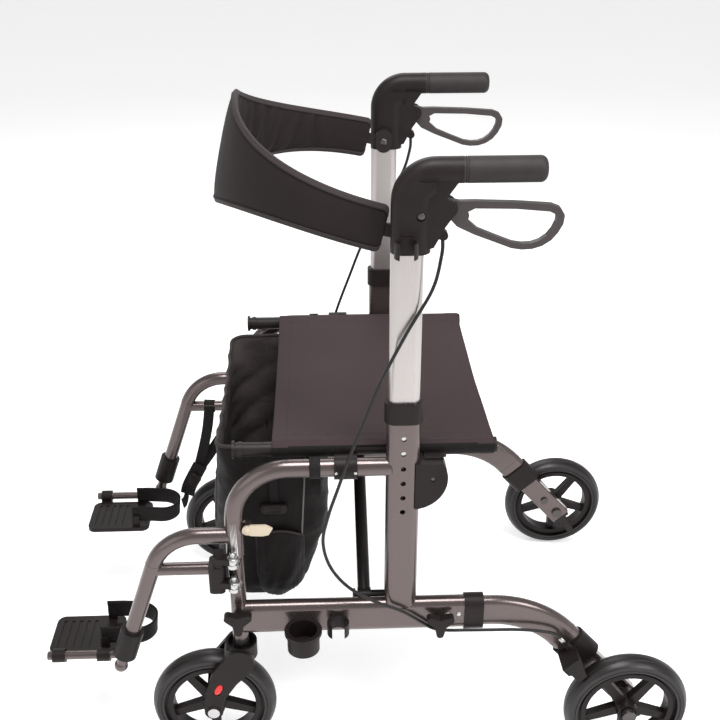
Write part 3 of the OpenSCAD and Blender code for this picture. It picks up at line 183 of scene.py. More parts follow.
def link_bump(tree, shader, height, strength, distance):
    """Bump on top of the bump that the shader already has, if any."""
    bump = add_node(tree, "ShaderNodeBump", Strength=strength, Distance=distance)
    tree.links.new(height, bump.inputs["Height"])
    for link in shader.inputs["Normal"].links:
        tree.links.new(link.from_socket, bump.inputs["Normal"])
    tree.links.new(bump.outputs["Normal"], shader.inputs["Normal"])


def speckled(name, colour, rough, spread, scale, bump, bump_scale, metallic=0.0, specular=0.5, stretch=None):
    """Moulded, painted, rubber or metal surface with fine grain and slow variation of colour and gloss."""
    material, tree, shader, place = start_material(name, "Object", rough, metallic)
    link_colour(tree, shader, noise_of(tree, place, scale), colour, spread)
    gloss = noise_of(tree, place, scale * 3, stretch=stretch)
    link_roughness(tree, shader, gloss, rough - 0.07, rough + 0.09)
    link_bump(tree, shader, noise_of(tree, place, bump_scale, 2.0, stretch), bump, 0.0006)
    shader.inputs["Specular IOR Level"].default_value = specular
    return material


def flake_paint(name, colour, rough):
    """Metallic enamel: fine flakes in its colour over a slow drift of its gloss."""
    material, tree, shader, place = start_material(name, "Object", rough, 0.75)
    cells = add_node(tree, "ShaderNodeTexVoronoi", Scale=1500)
    tree.links.new(place, cells.inputs["Vector"])
    link_colour(tree, shader, cells.outputs["Distance"], colour, 0.07)
    link_roughness(tree, shader, noise_of(tree, place, 14), rough - 0.06, rough + 0.08)
    link_bump(tree, shader, noise_of(tree, place, 700, 2.0), 0.05, 0.0003)
    set_sockets(shader, {"Coat Weight": 0.35, "Coat Roughness": 0.18})
    return material


def woven(name, colour, pitch, rough, spread=0.16, crinkle=0.0):
    """Plain weave in the piece's own cloth coordinates, which are in metres along and across the cloth."""
    material, tree, shader, cloth = start_material(name, "UV", rough)
    weave = tree.nodes.new("ShaderNodeMath")
    weave.operation = "MULTIPLY"
    for index, direction in enumerate("XY"):
        wave = add_node(tree, "ShaderNodeTexWave", Scale=0.314 / pitch, Distortion=0.6)
        wave.inputs["Detail Scale"].default_value = 3.0
        wave.bands_direction = direction
        tree.links.new(cloth, wave.inputs["Vector"])
        tree.links.new(wave.outputs["Fac"], weave.inputs[index])
    drift = noise_of(tree, cloth, 9, 6.0)
    both = tree.nodes.new("ShaderNodeMath")
    both.operation = "MULTIPLY_ADD"
    both.inputs[1].default_value = 0.45
    tree.links.new(weave.outputs["Value"], both.inputs[0])
    tree.links.new(drift, both.inputs[2])
    link_colour(tree, shader, both.outputs["Value"], colour, spread)
    link_roughness(tree, shader, drift, rough - 0.08, rough + 0.06)
    if crinkle:
        creases = add_node(tree, "ShaderNodeTexNoise", Scale=26, Detail=5.0, Distortion=1.4)
        tree.links.new(cloth, creases.inputs["Vector"])
        link_bump(tree, shader, creases.outputs["Fac"], crinkle, 0.010)
    link_bump(tree, shader, weave.outputs["Value"], 0.45, 0.0006)
    set_sockets(shader, {"Sheen Weight": 0.02, "Sheen Roughness": 0.45, "Specular IOR Level": 0.12})
    return material


make_camera()
make_studio()

# Numbers of a speckled finish: roughness, colour spread and its scale, bump and its scale, how metallic
# Numbers of a woven finish: thread pitch in metres, roughness, colour spread, crinkle
FRAME_GREY = (0.110, 0.086, 0.083)
CHARCOAL = (0.0118, 0.0082, 0.0082)
paint = flake_paint("frame_enamel", FRAME_GREY, 0.24)
bright_tube = speckled("bright_tube", (0.44, 0.410, 0.402), 0.28, 0.015, 20, 0.01, 900, 0.9,
                       stretch=(1, 1, 0.02))
steel = speckled("plated_steel", (0.50, 0.49, 0.49), 0.27, 0.05, 60, 0.06, 900, 1.0)
dark_steel = speckled("dark_steel", (0.090, 0.080, 0.078), 0.36, 0.10, 60, 0.08, 900, 0.8)
moulding = speckled("charcoal_moulding", CHARCOAL, 0.44, 0.16, 30, 0.16, 1100, specular=0.17)
lever_plastic = speckled("lever_moulding", (0.042, 0.035, 0.034), 0.42, 0.08, 26, 0.10, 900, specular=0.3)
rubber = speckled("grip_rubber", (0.019, 0.0145, 0.0145), 0.58, 0.14, 45, 0.30, 850, specular=0.3)
tyre_rubber = speckled("tyre_rubber", (0.0092, 0.0070, 0.0070), 0.37, 0.20, 40, 0.12, 700, specular=0.38)
brace_coat = speckled("brace_powder_coat", (0.0145, 0.0112, 0.0108), 0.42, 0.12, 50, 0.22, 1000, specular=0.2)
sheath = speckled("cable_sheath", (0.008, 0.0075, 0.0075), 0.38, 0.10, 80, 0.05, 600, specular=0.3)
latch_plastic = speckled("latch_moulding", (0.50, 0.42, 0.32), 0.38, 0.05, 40, 0.08, 800)
red_lens = speckled("red_reflector", (0.60, 0.016, 0.014), 0.22, 0.12, 300, 0.35, 420)
seat_cloth = woven("seat_nylon", (0.038, 0.0255, 0.0270), 0.0016, 0.74, 0.10, 0.05)
black_cloth = woven("black_nylon", (0.0066, 0.0053, 0.0050), 0.0016, 0.58, 0.16, 0.30)
back_cloth = woven("backrest_nylon", (0.0140, 0.0100, 0.0100), 0.0014, 0.66, 0.14, 0.10)
# Bag's inner faces: a dark grey lining colour, lightened further as painted light to make up for the shade
# inside the bag
lining_with_painted_light = woven("bag_lining_with_painted_light", (0.088, 0.074, 0.072), 0.0016, 0.74, 0.14, 0.20)
binding = woven("edge_binding", (0.034, 0.027, 0.027), 0.0011, 0.60)
piping = woven("grey_piping", (0.13, 0.12, 0.115), 0.0010, 0.50)
webbing = woven("black_webbing", (0.0090, 0.0075, 0.0073), 0.0022, 0.60)
thread = speckled("seat_thread", (0.046, 0.034, 0.035), 0.70, 0.12, 200, 0.20, 900, specular=0.2)
black_thread = speckled("black_thread", (0.022, 0.019, 0.019), 0.70, 0.12, 200, 0.20, 900, specular=0.2)

NODE_MATERIAL = {
    "side_frame": paint, "rear_leg": paint, "footrest_hanger": paint,
    "handle_tube": bright_tube,
    "caster_hardware": steel, "rear_hardware": dark_steel, "height_button": steel,
    "brake_lever": lever_plastic, "grip": rubber,
    "front_tyre": tyre_rubber, "rear_tyre": tyre_rubber,
    "tip_pedal": brace_coat, "backrest_arm": brace_coat, "cross_frame": brace_coat,
    "brake_cable": sheath, "footrest_latch": latch_plastic,
    "seat": seat_cloth, "bag": black_cloth, "backrest": back_cloth, "heel_strap": webbing,
}

# Part of each side frame that holds its plated hinge lugs and pins
LUG_X = 0.185
LUG_OUT = 0.013
LUG_LOW = 0.335
LUG_HIGH = 0.415


def dress_nodes():
    """Every carried-over CAD node gets its finish; what isn't named in the table is the charcoal moulding."""
    for name, node in nodes.items():
        base = name
        for tail in ("_left", "_right", "_a", "_b"):
            base = base.removesuffix(tail)
        material = NODE_MATERIAL.get(base, moulding)
        if not node.data.materials:
            node.data.materials.append(material)
        for slot in node.material_slots:
            slot.material = material
    for side, _ in SIDES:
        mesh = nodes["side_frame_" + side].data
        mesh.materials.append(steel)
        for polygon in mesh.polygons:
            x, y, z = polygon.center
            if x > LUG_X and abs(y) > SIDE_Y + LUG_OUT and LUG_LOW < z < LUG_HIGH:
                polygon.material_index = len(mesh.materials) - 1


dress_nodes()


# Mesh tools

def new_object(name, vertices, faces, uvs, material):
    """Smooth mesh from lists of points and faces, with cloth coordinates in metres for each corner."""
    mesh = bpy.data.meshes.new(name)
    mesh.from_pydata([tuple(v) for v in vertices], [], [tuple(int(i) for i in f) for f in faces])
    layer = mesh.uv_layers.new(name="cloth")
    corners = np.array([uvs[i] for f in faces for i in f], dtype=np.float32)
    layer.data.foreach_set("uv", corners.ravel())
    mesh.polygons.foreach_set("use_smooth", [True] * len(mesh.polygons))
    mesh.materials.append(material)
    mesh.update()
    piece = bpy.data.objects.new(name, mesh)
    bpy.context.scene.collection.objects.link(piece)
    return piece


def attach(piece, body):
    """Gives a piece the body that it rides on."""
    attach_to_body(piece, body)


def points_of(piece):
    return np.array([v.co for v in piece.data.vertices])


def set_points(piece, points):
    piece.data.vertices.foreach_set("co", points.astype(np.float32).ravel())
    piece.data.update()


def unit(vectors):
    return vectors / np.linalg.norm(vectors, axis=-1, keepdims=True)


def round_corners(low, high, corner, count):
    """Points round a rectangle between its low and high corners, with count points on each round corner."""
    points = []
    (left, bottom), (right, top) = np.add(low, corner), np.subtract(high, corner)
    for x, y, start in ((right, top, 0), (left, top, 90), (left, bottom, 180), (right, bottom, 270)):
        for a in np.radians(np.linspace(start, start + 90, count)):
            points.append((x + corner * math.cos(a), y + corner * math.sin(a)))
    return points


def run_along(path):
    """Distance along a path at each of its points."""
    return np.concatenate([[0], np.cumsum(np.linalg.norm(np.diff(path, axis=0), axis=1))])


def facing(outward, up):
    """Unit directions of a piece: the way it faces, up along its face, and sideways."""
    outward = Vector(outward).normalized()
    up = Vector(up)
    up = (up - outward * up.dot(outward)).normalized()
    return outward, up, up.cross(outward)


def ring_faces(rings, around, ends="capped"):
    """Faces of a skin over rings of points, with its ends capped, open or joined to each other."""
    faces = []
    for i in range(rings if ends == "joined" else rings - 1):
        after = (i + 1) % rings
        for k in range(around):
            right = (k + 1) % around
            faces.append([i * around + k, i * around + right, after * around + right, after * around + k])
    if ends == "capped":
        faces.append(list(reversed(range(around))))
        faces.append([(rings - 1) * around + k for k in range(around)])
    return faces


def grid_normals(grid, around=False):
    """Unit normals of a grid of points; around says that the second direction closes on itself."""
    along = np.gradient(grid, axis=0)
    if around:
        across = (np.roll(grid, -1, axis=1) - np.roll(grid, 1, axis=1)) / 2
    else:
        across = np.gradient(grid, axis=1)
    normals = np.cross(along, across)
    return normals / np.maximum(np.linalg.norm(normals, axis=2, keepdims=True), 1e-12)


def grid_uv(grid):
    """Distances along and across a grid, in metres."""
    along = np.zeros(grid.shape[:2])
    across = np.zeros(grid.shape[:2])
    along[1:] = np.cumsum(np.linalg.norm(np.diff(grid, axis=0), axis=2), axis=0)
    across[:, 1:] = np.cumsum(np.linalg.norm(np.diff(grid, axis=1), axis=2), axis=1)
    return np.stack([along, across], axis=2)


def sheet_object(name, grid, thick, material, keep=None, around=False):
    """Sheet of real thickness over a grid of points. keep marks the cells that stay, around closes it."""
    rows, columns = grid.shape[:2]
    cells = columns if around else columns - 1
    if keep is None:
        keep = np.ones((rows - 1, cells), bool)
    kept = np.pad(keep, 1)
    if around:
        kept[1:-1, [0, -1]] = keep[:, [-1, 0]]
    half = np.broadcast_to(thick, (rows, columns))[:, :, None] / 2
    lift = grid_normals(grid, around) * half
    vertices = np.concatenate([(grid + lift).reshape(-1, 3), (grid - lift).reshape(-1, 3)])
    uvs = np.tile(grid_uv(grid).reshape(-1, 2), (2, 1))
    back = rows * columns
    faces = []
    for i in range(rows - 1):
        for j in range(cells):
            if not keep[i, j]:
                continue
            right = (j + 1) % columns
            corners = [i * columns + j, (i + 1) * columns + j, (i + 1) * columns + right, i * columns + right]
            faces.append(corners)
            faces.append([c + back for c in reversed(corners)])
            for side, (down, over) in enumerate(((0, -1), (1, 0), (0, 1), (-1, 0))):
                if not kept[i + 1 + down, j + 1 + over]:
                    a, b = corners[side], corners[(side + 1) % 4]
                    faces.append([b, a, a + back, b + back])
    used = sorted({i for f in faces for i in f})
    place = {old: new for new, old in enumerate(used)}
    faces = [[place[i] for i in f] for f in faces]
    return new_object(name, vertices[used], faces, uvs[used], material)


def smooth_path(points, steps):
    """Smooth curve through points, with equal steps between each two."""
    p = np.array(points, float)
    p = np.vstack([p[:1], p, p[-1:]])
    result = []
    for a, b, c, d in zip(p, p[1:], p[2:], p[3:]):
        for t in np.linspace(0, 1, steps, endpoint=False):
            result.append(0.5 * (2 * b + (c - a) * t + (2 * a - 5 * b + 4 * c - d) * t ** 2
                                 + (3 * b - a - 3 * c + d) * t ** 3))
    result.append(p[-1])
    return np.array(result)


def tube_object(name, path, radius, material, sides=12, closed=False):
    """Round tube along a path, with closed ends unless the path itself closes."""
    path = np.array(path, float)
    count = len(path)
    if closed:
        ahead = np.roll(path, -1, axis=0) - np.roll(path, 1, axis=0)
    else:
        ahead = np.gradient(path, axis=0)
    ahead = unit(ahead)
    # No path starts along this direction
    skew = (0.31, 0.52, 0.79)
    side = unit(np.cross(ahead[0], skew))
    turn = 2 * math.pi * np.arange(sides) / sides
    rings = []
    for i in range(count):
        side = unit(side - ahead[i] * np.dot(side, ahead[i]))
        up = np.cross(ahead[i], side)
        rings.append(path[i] + radius * (np.cos(turn)[:, None] * side + np.sin(turn)[:, None] * up))
    rings = np.array(rings)
    uvs = grid_uv(rings).reshape(-1, 2)
    faces = ring_faces(count, sides, "joined" if closed else "capped")
    return new_object(name, rings.reshape(-1, 3), faces, uvs, material)


def ribbon_object(name, path, across, width, thick, material):
    """Flat webbing along a path. across is the direction of its width, for all or for each point."""
    path = np.array(path, float)
    across = unit(np.broadcast_to(np.array(across, float), path.shape))
    shares = np.linspace(-0.5, 0.5, 7)
    grid = path[:, None, :] + across[:, None, :] * (shares * width)[:, None]
    edge = np.where(np.abs(shares) > 0.4, thick * 1.25, thick)
    return sheet_object(name, grid, edge, material)


def stitch_object(name, rows, material, pitch=0.0055, length=0.0034, radius=0.0005):
    """Rows of sewn stitches, each a path with its normals. A stitch is a small pointed bead."""
    vertices, faces = [], []
    for path, normals in rows:
        path = np.array(path, float)
        normals = np.broadcast_to(np.array(normals, float), path.shape)
        run = run_along(path)
        for start in np.arange(pitch / 2, run[-1] - length, pitch):
            a = np.array([np.interp(start, run, path[:, k]) for k in range(3)])
            b = np.array([np.interp(start + length, run, path[:, k]) for k in range(3)])
            normal = unit(np.array([np.interp(start, run, normals[:, k]) for k in range(3)]))
            side = unit(np.cross(b - a, normal))
            middle = (a + b) / 2
            base = len(vertices)
            vertices += [a, b]
            vertices += [middle + radius * d for d in (normal, side, -normal, -side)]
            for k in range(4):
                after = (k + 1) % 4
                faces.append([base, base + 2 + after, base + 2 + k])
                faces.append([base + 1, base + 2 + k, base + 2 + after])
    return new_object(name, vertices, faces, [(0, 0)] * len(vertices), material)


def turned_object(name, place, outward, profile, material, stretch=1.0, up=(0, 0, 1), sides=24):
    """Turned piece from a profile of radius and height, tip first. stretch makes it oval along up."""
    outward, up, side = facing(outward, up)
    vertices = [Vector(place) + outward * profile[0][1]]
    for radius, height in profile[1:]:
        for k in range(sides):
            turn = 2 * math.pi * k / sides
            flat = up * math.cos(turn) * radius * stretch + side * math.sin(turn) * radius
            vertices.append(Vector(place) + flat + outward * height)
    faces = [[0, 1 + k, 1 + (k + 1) % sides] for k in range(sides)]
    for ring in range(len(profile) - 2):
        low = 1 + ring * sides
        for k in range(sides):
            right = (k + 1) % sides
            faces.append([low + k, low + sides + k, low + sides + right, low + right])
    last = 1 + (len(profile) - 2) * sides
    faces.append([last + k for k in reversed(range(sides))])
    uvs = [(v.x, v.z) for v in vertices]
    return new_object(name, vertices, faces, uvs, material)


def dome_object(name, place, outward, radius, height, material, stretch=1.0, up=(0, 0, 1)):
    """Low round or oval dome with a flat rim, such as a screw head, a rivet or a reflector."""
    shares = ((0.0, 1.0), (0.35, 0.95), (0.65, 0.80), (0.88, 0.52), (1.0, 0.18), (1.0, -0.6))
    profile = [(radius * r, height * h) for r, h in shares]
    return turned_object(name, place, outward, profile, material, stretch, up)


def slab_object(name, place, outward, up, width, height, thick, material):
    """Moulded slab with round corners and a raised round-edged face, such as the body of a buckle."""
    outward, up, side = facing(outward, up)
    corner = min(width, height) * 0.28
    outline = round_corners((-width / 2, -height / 2), (width / 2, height / 2), corner, 7)
    levels = ((1.0, -0.5), (1.0, 0.25), (0.95, 0.42), (0.86, 0.5), (0.55, 0.5), (0.48, 0.38))
    vertices = []
    for share, level in levels:
        for u, v in outline:
            vertices.append(Vector(place) + side * u * share + up * v * share + outward * level * thick)
    faces = ring_faces(len(levels), len(outline))
    return new_object(name, vertices, faces, [(v.x, v.z) for v in vertices], material)


def ease(low, high, value):
    """Smooth step from 0 at low to 1 at high."""
    share = np.clip((np.asarray(value, float) - low) / (high - low), 0, 1)
    return share * share * (3 - 2 * share)


# Sling seat: one stretched sheet that wraps both rails, with sewn hems and a notch for each brace arm

def make_seat():
    rail_gap = 0.00125
    wrap_r = RAIL_D / 2 + rail_gap
    lap = math.radians(215)
    sag = 0.011
    cloth, hem_extra = 0.0014, 0.0008
    hem, rail_hem, hem_fade = 0.022, 0.026, 0.002
    edge_seams = (0.020, 0.0045)
    rail_seams = (0.019, 0.024)
    notch_half, notch_from = 0.028, math.radians(55)
    wrap = np.linspace(lap, 0, 26)[:-1]
    left = [(RAIL_Y + wrap_r * math.sin(a), RAIL_Z + wrap_r * math.cos(a), a) for a in wrap]
    span = np.linspace(RAIL_Y, -RAIL_Y, 120)
    middle = [(y, RAIL_Z + wrap_r - sag * (1 - (y / RAIL_Y) ** 2), 0.0) for y in span]
    right = [(-y, z, a) for y, z, a in reversed(left)]
    section = np.array(left + middle + right)
    length = np.linspace(RAIL_REAR + 0.001, SEAT_FRONT, 110)
    x, y = np.meshgrid(length, section[:, 0], indexing="ij")
    flat = 1 - ease(0.0, 0.2, section[:, 2])
    from_rail = RAIL_Y - np.abs(y)
    ripples = 0.0007 * np.sin(x * 150 + y * 9) * np.exp(-from_rail / 0.05)
    slack = 0.0012 * np.sin(y * 31 + 1.1) * np.sin(x * 14 + 0.4)
    edge_dip = 0.0025 * ease(SEAT_FRONT - 0.05, SEAT_FRONT, x) * (1 - (y / RAIL_Y) ** 2)
    grid = np.stack([x, y, section[:, 1] + flat * (ripples + slack - edge_dip)], axis=2)
    hem_front = ease(SEAT_FRONT - hem - hem_fade, SEAT_FRONT - hem, x)
    hem_rear = 1 - ease(RAIL_REAR + hem, RAIL_REAR + hem + hem_fade, x)
    hem_rail = 1 - ease(rail_hem, rail_hem + hem_fade, from_rail)
    thick = cloth + hem_extra * np.maximum(np.maximum(hem_front, hem_rear), hem_rail * flat)
    cell_x = (length[1:] + length[:-1]) / 2
    cell_a = (section[1:, 2] + section[:-1, 2]) / 2
    notch = (np.abs(cell_x - BRACE_X) < notch_half)[:, None] & (cell_a > notch_from)
    seat = sheet_object("seat_sling", grid, thick, seat_cloth, keep=~notch)
    seat.data.materials.append(black_cloth)
    for polygon in seat.data.polygons:
        from_axis = polygon.center.z - RAIL_Z
        if from_axis < wrap_r * 0.72 and abs(polygon.center.y) > RAIL_Y - wrap_r:
            polygon.material_index = 1
    normals = grid_normals(grid)
    up = np.where(normals[..., 2:] < 0, -1, 1) * normals
    seams = []
    on_top = (np.abs(section[:, 0]) < RAIL_Y - 0.002) & (section[:, 2] == 0)
    surface = grid + up * (thick[:, :, None] / 2)
    for target in (*np.subtract(SEAT_FRONT, edge_seams), *np.add(RAIL_REAR, edge_seams)):
        row = int(np.argmin(np.abs(length - target)))
        seams.append((surface[row, on_top], up[row, on_top]))
    for side in (1, -1):
        for inset in rail_seams:
            column = int(np.argmin(np.abs(section[:, 0] - side * (RAIL_Y - inset)) + section[:, 2]))
            seams.append((surface[:, column], up[:, column]))
    stitching = stitch_object("seat_stitching", seams, thread)
    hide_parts("seat")
    for piece in (seat, stitching):
        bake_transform(piece)


make_seat()


# Padded backrest band with bound edges and gathers on its inner face

BACK_PIVOT = (-0.050, 0.893)
BACK_TILT = math.radians(13)
BACK_HALF = 0.2342
BACK_START = 0.028
BACK_REACH = 0.231
BACK_POINT = 1.2
BACK_RISE = 0.75
BACK_PUFF = 0.85
BACK_END_HEIGHT = 0.063
BACK_PEAK = 0.104
BACK_THICK = 0.017
GATHER_DEPTH = 0.0125
TAPE_DEPTH = 0.005
TAPE_ROUND = 0.0022
TAPE_THICK = 0.0011
CLOTH_FRAMES = 20


def back_place(turn, lift, out):
    """Point of the backrest: turn round the band in radians, lift along its height, out from its middle."""
    cos, sin = np.maximum(np.cos(turn), 0), np.sin(turn)
    along = unit(np.stack([BACK_HALF * cos ** (2 - BACK_POINT), BACK_REACH * BACK_POINT * sin], axis=-1))
    forward = BACK_START + BACK_REACH * cos ** BACK_POINT + along[..., 0] * out
    y = BACK_HALF * sin + along[..., 1] * out
    x = BACK_PIVOT[0] + forward * math.cos(BACK_TILT) - lift * math.sin(BACK_TILT)
    z = BACK_PIVOT[1] + forward * math.sin(BACK_TILT) + lift * math.cos(BACK_TILT)
    return np.stack([x, y, z], axis=-1)


def back_height(turn):
    """Height of the band, which peaks in the middle with a small round and has round corners at its ends."""
    soft = 0.07
    corner = 0.008
    from_middle = (np.hypot(np.sin(turn), soft) - soft) / (math.hypot(1, soft) - soft)
    inside = np.minimum(BACK_REACH * np.maximum(np.cos(turn), 0) ** BACK_POINT, corner)
    cut = corner - np.sqrt(corner ** 2 - (corner - inside) ** 2)
    return BACK_END_HEIGHT + BACK_PEAK * np.maximum(1 - from_middle, 0) ** 1.5 - 2 * cut


def inflate(piece, pinned, pressure, cap, growth=0.0):
    """Blows a cloth mesh up a little with its pinned points held, and keeps every move under the cap."""
    rest = points_of(piece)
    group = piece.vertex_groups.new(name="held")
    group.add([int(i) for i in pinned], 1.0, "REPLACE")
    cloth = piece.modifiers.new("cloth", "CLOTH")
    settings = cloth.settings
    settings.use_pressure = True
    settings.uniform_pressure_force = pressure
    settings.vertex_group_mass = "held"
    settings.mass = 0.3
    settings.tension_stiffness = 12
    settings.compression_stiffness = 6
    settings.bending_stiffness = 0.6
    settings.shrink_min = -growth
    settings.effector_weights.gravity = 0
    cloth.collision_settings.use_self_collision = False
    scene = bpy.context.scene
    for number in range(1, CLOTH_FRAMES + 1):
        scene.frame_set(number)
    shape = piece.evaluated_get(bpy.context.evaluated_depsgraph_get())
    moved = points_of(shape) - rest
    size = np.linalg.norm(moved, axis=1, keepdims=True)
    moved *= cap * np.tanh(size / cap) / np.maximum(size, 1e-9)
    piece.modifiers.remove(cloth)
    piece.vertex_groups.remove(group)
    set_points(piece, rest + moved)
    scene.frame_set(1)


def back_half(height, thick, inset):
    """Half the band's thickness at a distance inside its long edges."""
    share = np.clip((height / 2 - inset) / (height / 2), 0, 1)
    return np.sin(np.arccos(share ** (1 / BACK_RISE))) ** BACK_PUFF * thick / 2


def back_gathers(turns, rise, puff):
    """Depth of the gathers: folds of unequal width on the inner face, deepest half way to each end."""
    inner = np.maximum(-puff, 0) * (1 - np.abs(rise) ** 4)
    degrees = np.degrees(turns)[:, None]
    phase = degrees * 0.42 + 1.3 * np.sin(degrees * 0.06) + rise * 0.9 * np.sin(degrees * 0.11)
    from_middle = np.abs(degrees)
    where = 0.6 * np.exp(-((from_middle - 34) / 19) ** 2) + 0.7 * np.exp(-((from_middle - 53) / 10) ** 2)
    uneven = 0.65 + 0.35 * np.sin(degrees * 0.17 + 0.8)
    folds = np.abs(np.sin(phase)) ** 0.7 + 0.35 * np.sin(phase * 2.3 + rise * 1.7)
    return GATHER_DEPTH * inner * where * uneven * (folds - 0.45)


def back_binding(name, top, turns, height, thick):
    """Tape that wraps one long edge of the band on both faces, and the row of stitches along it."""
    wrap = np.linspace(-math.pi / 2, math.pi / 2, 9)
    profile = [(-TAPE_DEPTH, -1.0), (-TAPE_DEPTH * 0.5, -1.0)]
    profile += [(TAPE_ROUND * math.cos(w), math.sin(w)) for w in wrap]
    profile += [(-TAPE_DEPTH * 0.5, 1.0), (-TAPE_DEPTH, 1.0)]
    least_half, gap = 0.0012, 0.0010
    edge = top * height / 2
    tape = np.zeros((len(turns), len(profile), 3))
    for j, (beyond, face) in enumerate(profile):
        reach = np.maximum(back_half(height, thick, -min(beyond, 0)), least_half) + gap
        tape[:, j] = back_place(turns, edge + top * beyond, face * reach)
    strip = sheet_object("backrest_binding_" + name, tape, TAPE_THICK, binding)
    seam_inset = TAPE_DEPTH - 0.0013
    lift = edge - top * seam_inset
    out = back_half(height, thick, seam_inset) + 0.0018
    seam = back_place(turns, lift, out)
    outward = back_place(turns, lift, out + 0.01) - seam
    return [strip, stitch_object("backrest_seam_" + name, [(seam, outward)], black_thread)]


def make_backrest():
    turns = np.radians(np.linspace(-90, 90, 241))
    around = 2 * math.pi * np.arange(56) / 56
    cos_a, sin_a = np.cos(around), np.sin(around)
    rise = np.sign(cos_a) * np.abs(cos_a) ** BACK_RISE
    puff = np.sign(sin_a) * np.abs(sin_a) ** BACK_PUFF
    height = back_height(turns)
    thick = BACK_THICK * (0.62 + 0.38 * np.cos(turns))
    lift = rise * height[:, None] / 2
    out = puff * thick[:, None] / 2
    around_band = np.broadcast_to(turns[:, None], lift.shape)
    grid = back_place(around_band, lift, out)
    gather_shift = back_place(around_band, lift, out - back_gathers(turns, rise, puff)) - grid
    rows, columns = grid.shape[:2]
    arc = run_along(grid.mean(axis=1))
    uvs = np.stack([np.broadcast_to(arc[:, None], lift.shape), lift], axis=2).reshape(-1, 2)
    band = new_object("backrest_band", grid.reshape(-1, 3), ring_faces(rows, columns), uvs, back_cloth)
    held = [i * columns + k for i in range(rows) for k in range(columns)
            if abs(rise[k]) > 0.90 or i < 4 or i > rows - 5]
    inflate(band, held, pressure=3.0, cap=0.005)
    set_points(band, points_of(band) + gather_shift.reshape(-1, 3))
    pieces = [band]
    for name, top in (("top", 1), ("bottom", -1)):
        pieces += back_binding(name, top, turns, height, thick)
    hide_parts("backrest")
    for piece in pieces:
        attach(piece, "back_left")
        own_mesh(piece)


make_backrest()


# Under-seat bag: a sagging shell with bound rim, piping, pockets, buckled straps and loops round the legs

BAG_HALF = 0.203
BAG_LOW = 0.268
BAG_TOP = 0.545
BAG_LEVELS = (0.268, 0.284, 0.298, 0.388, 0.545)
BAG_REAR = (0.109, 0.0994, 0.091, 0.063, 0.057)
BAG_FRONT = (0.220, 0.230, 0.2302, 0.2316, 0.234)
SMOOTH_PASSES = 5
LOOP_X = 0.077
BUCKLE_X = 0.1415
BUCKLE_Z = 0.441
ZIP_Z = 0.4585
ON_CLOTH = 0.0012


def bag_ring(level, inset, corner, count=160):
    """Outline of the bag at one height: points round a rectangle with round corners."""
    rear = np.interp(level, BAG_LEVELS, BAG_REAR) + inset
    front = np.interp(level, BAG_LEVELS, BAG_FRONT) - inset
    half = BAG_HALF - inset
    corner = min(corner, (front - rear) / 2 * 0.95)
    points = round_corners((rear, -half), (front, half), corner, 9)
    points = np.array(points + points[:1])
    run = run_along(points)
    steps = np.linspace(0, run[-1], count, endpoint=False)
    return np.stack([np.interp(steps, run, points[:, k]) for k in (0, 1)], axis=1)


def bag_shape(floor_rows=10, wall_rows=64):
    """Grid of the bag's cloth from the middle of its floor to its rim, sagged and creased."""
    floor = BAG_LOW + 0.004
    levels = floor + (BAG_TOP - BAG_LOW - 0.006) * np.linspace(0, 1, wall_rows)
    base = bag_ring(BAG_LOW, 0.010, 0.03)
    middle = base.mean(axis=0)
    rows = []
    for share in np.linspace(0.005, 0.97, floor_rows):
        ring = middle + (base - middle) * share
        rows.append(np.column_stack([ring, np.full(len(ring), floor - 0.002 * (1 - share))]))
    for level in levels:
        ring = bag_ring(level, 0.004 + 0.006 * (1 - ease(BAG_LOW, BAG_LOW + 0.03, level)), 0.028)
        rows.append(np.column_stack([ring, np.full(len(ring), level)]))
    grid = np.array(rows)
    wall = np.zeros(grid.shape[:2])
    wall[floor_rows:] = ease(BAG_LOW, BAG_LOW + 0.04, levels)[:, None]
    x, y, z = np.moveaxis(grid.copy(), 2, 0)
    across = np.clip(np.abs(y) / BAG_HALF, 0, 1)
    panel = 1 - across ** 12
    # The long panels belly out low down and hang in above, with creases that slant from the corners
    belly = 0.005 * np.sin((z - BAG_LOW) * 22.7 - 0.4) * np.cos(y * 6.0)
    slant = np.sin(np.abs(y) * 52 + z * 44 + 1.3 * np.sin(z * 17))
    crease = 0.0026 * slant * np.sin(z * 21 + 0.6) + 0.0014 * np.sin(z * 95 - np.abs(y) * 60)
    middle_x = (np.interp(z, BAG_LEVELS, BAG_REAR) + np.interp(z, BAG_LEVELS, BAG_FRONT)) / 2
    outward = np.where(x > middle_x, 1, -1)
    grid[..., 0] = x + wall * outward * panel * (belly - np.abs(crease))
    side_crease = 0.003 * np.abs(np.sin(z * 52 + (x - 0.05) * 31)) - 0.002 * np.sin((z - BAG_LOW) * 11)
    grid[..., 1] = y - np.sign(y) * wall * (1 - panel) * side_crease
    rim = ease(BAG_TOP - 0.16, BAG_TOP, z)
    grid[..., 2] = z - wall * 0.016 * rim * (1 - across ** 2)
    return grid


def settle_bag(grid):
    """The bag's cloth, filled a little by a simulation with its rim held, its small ripples smoothed out."""
    rows, columns = grid.shape[:2]
    points = grid.reshape(-1, 3)
    faces = ring_faces(rows, columns, "open")
    layer = new_object("bag_layer", points, faces, np.zeros((len(points), 2)), black_cloth)
    rim = range((rows - 3) * columns, rows * columns)
    inflate(layer, rim, pressure=1.5, cap=0.008, growth=0.03)
    moves = points_of(layer).reshape(grid.shape) - grid
    for _ in range(SMOOTH_PASSES):
        moves = 0.5 * moves + 0.25 * (np.roll(moves, 1, axis=1) + np.roll(moves, -1, axis=1))
        moves[1:-1] = 0.5 * moves[1:-1] + 0.25 * (moves[2:] + moves[:-2])
    bpy.data.meshes.remove(layer.data)
    return grid + moves


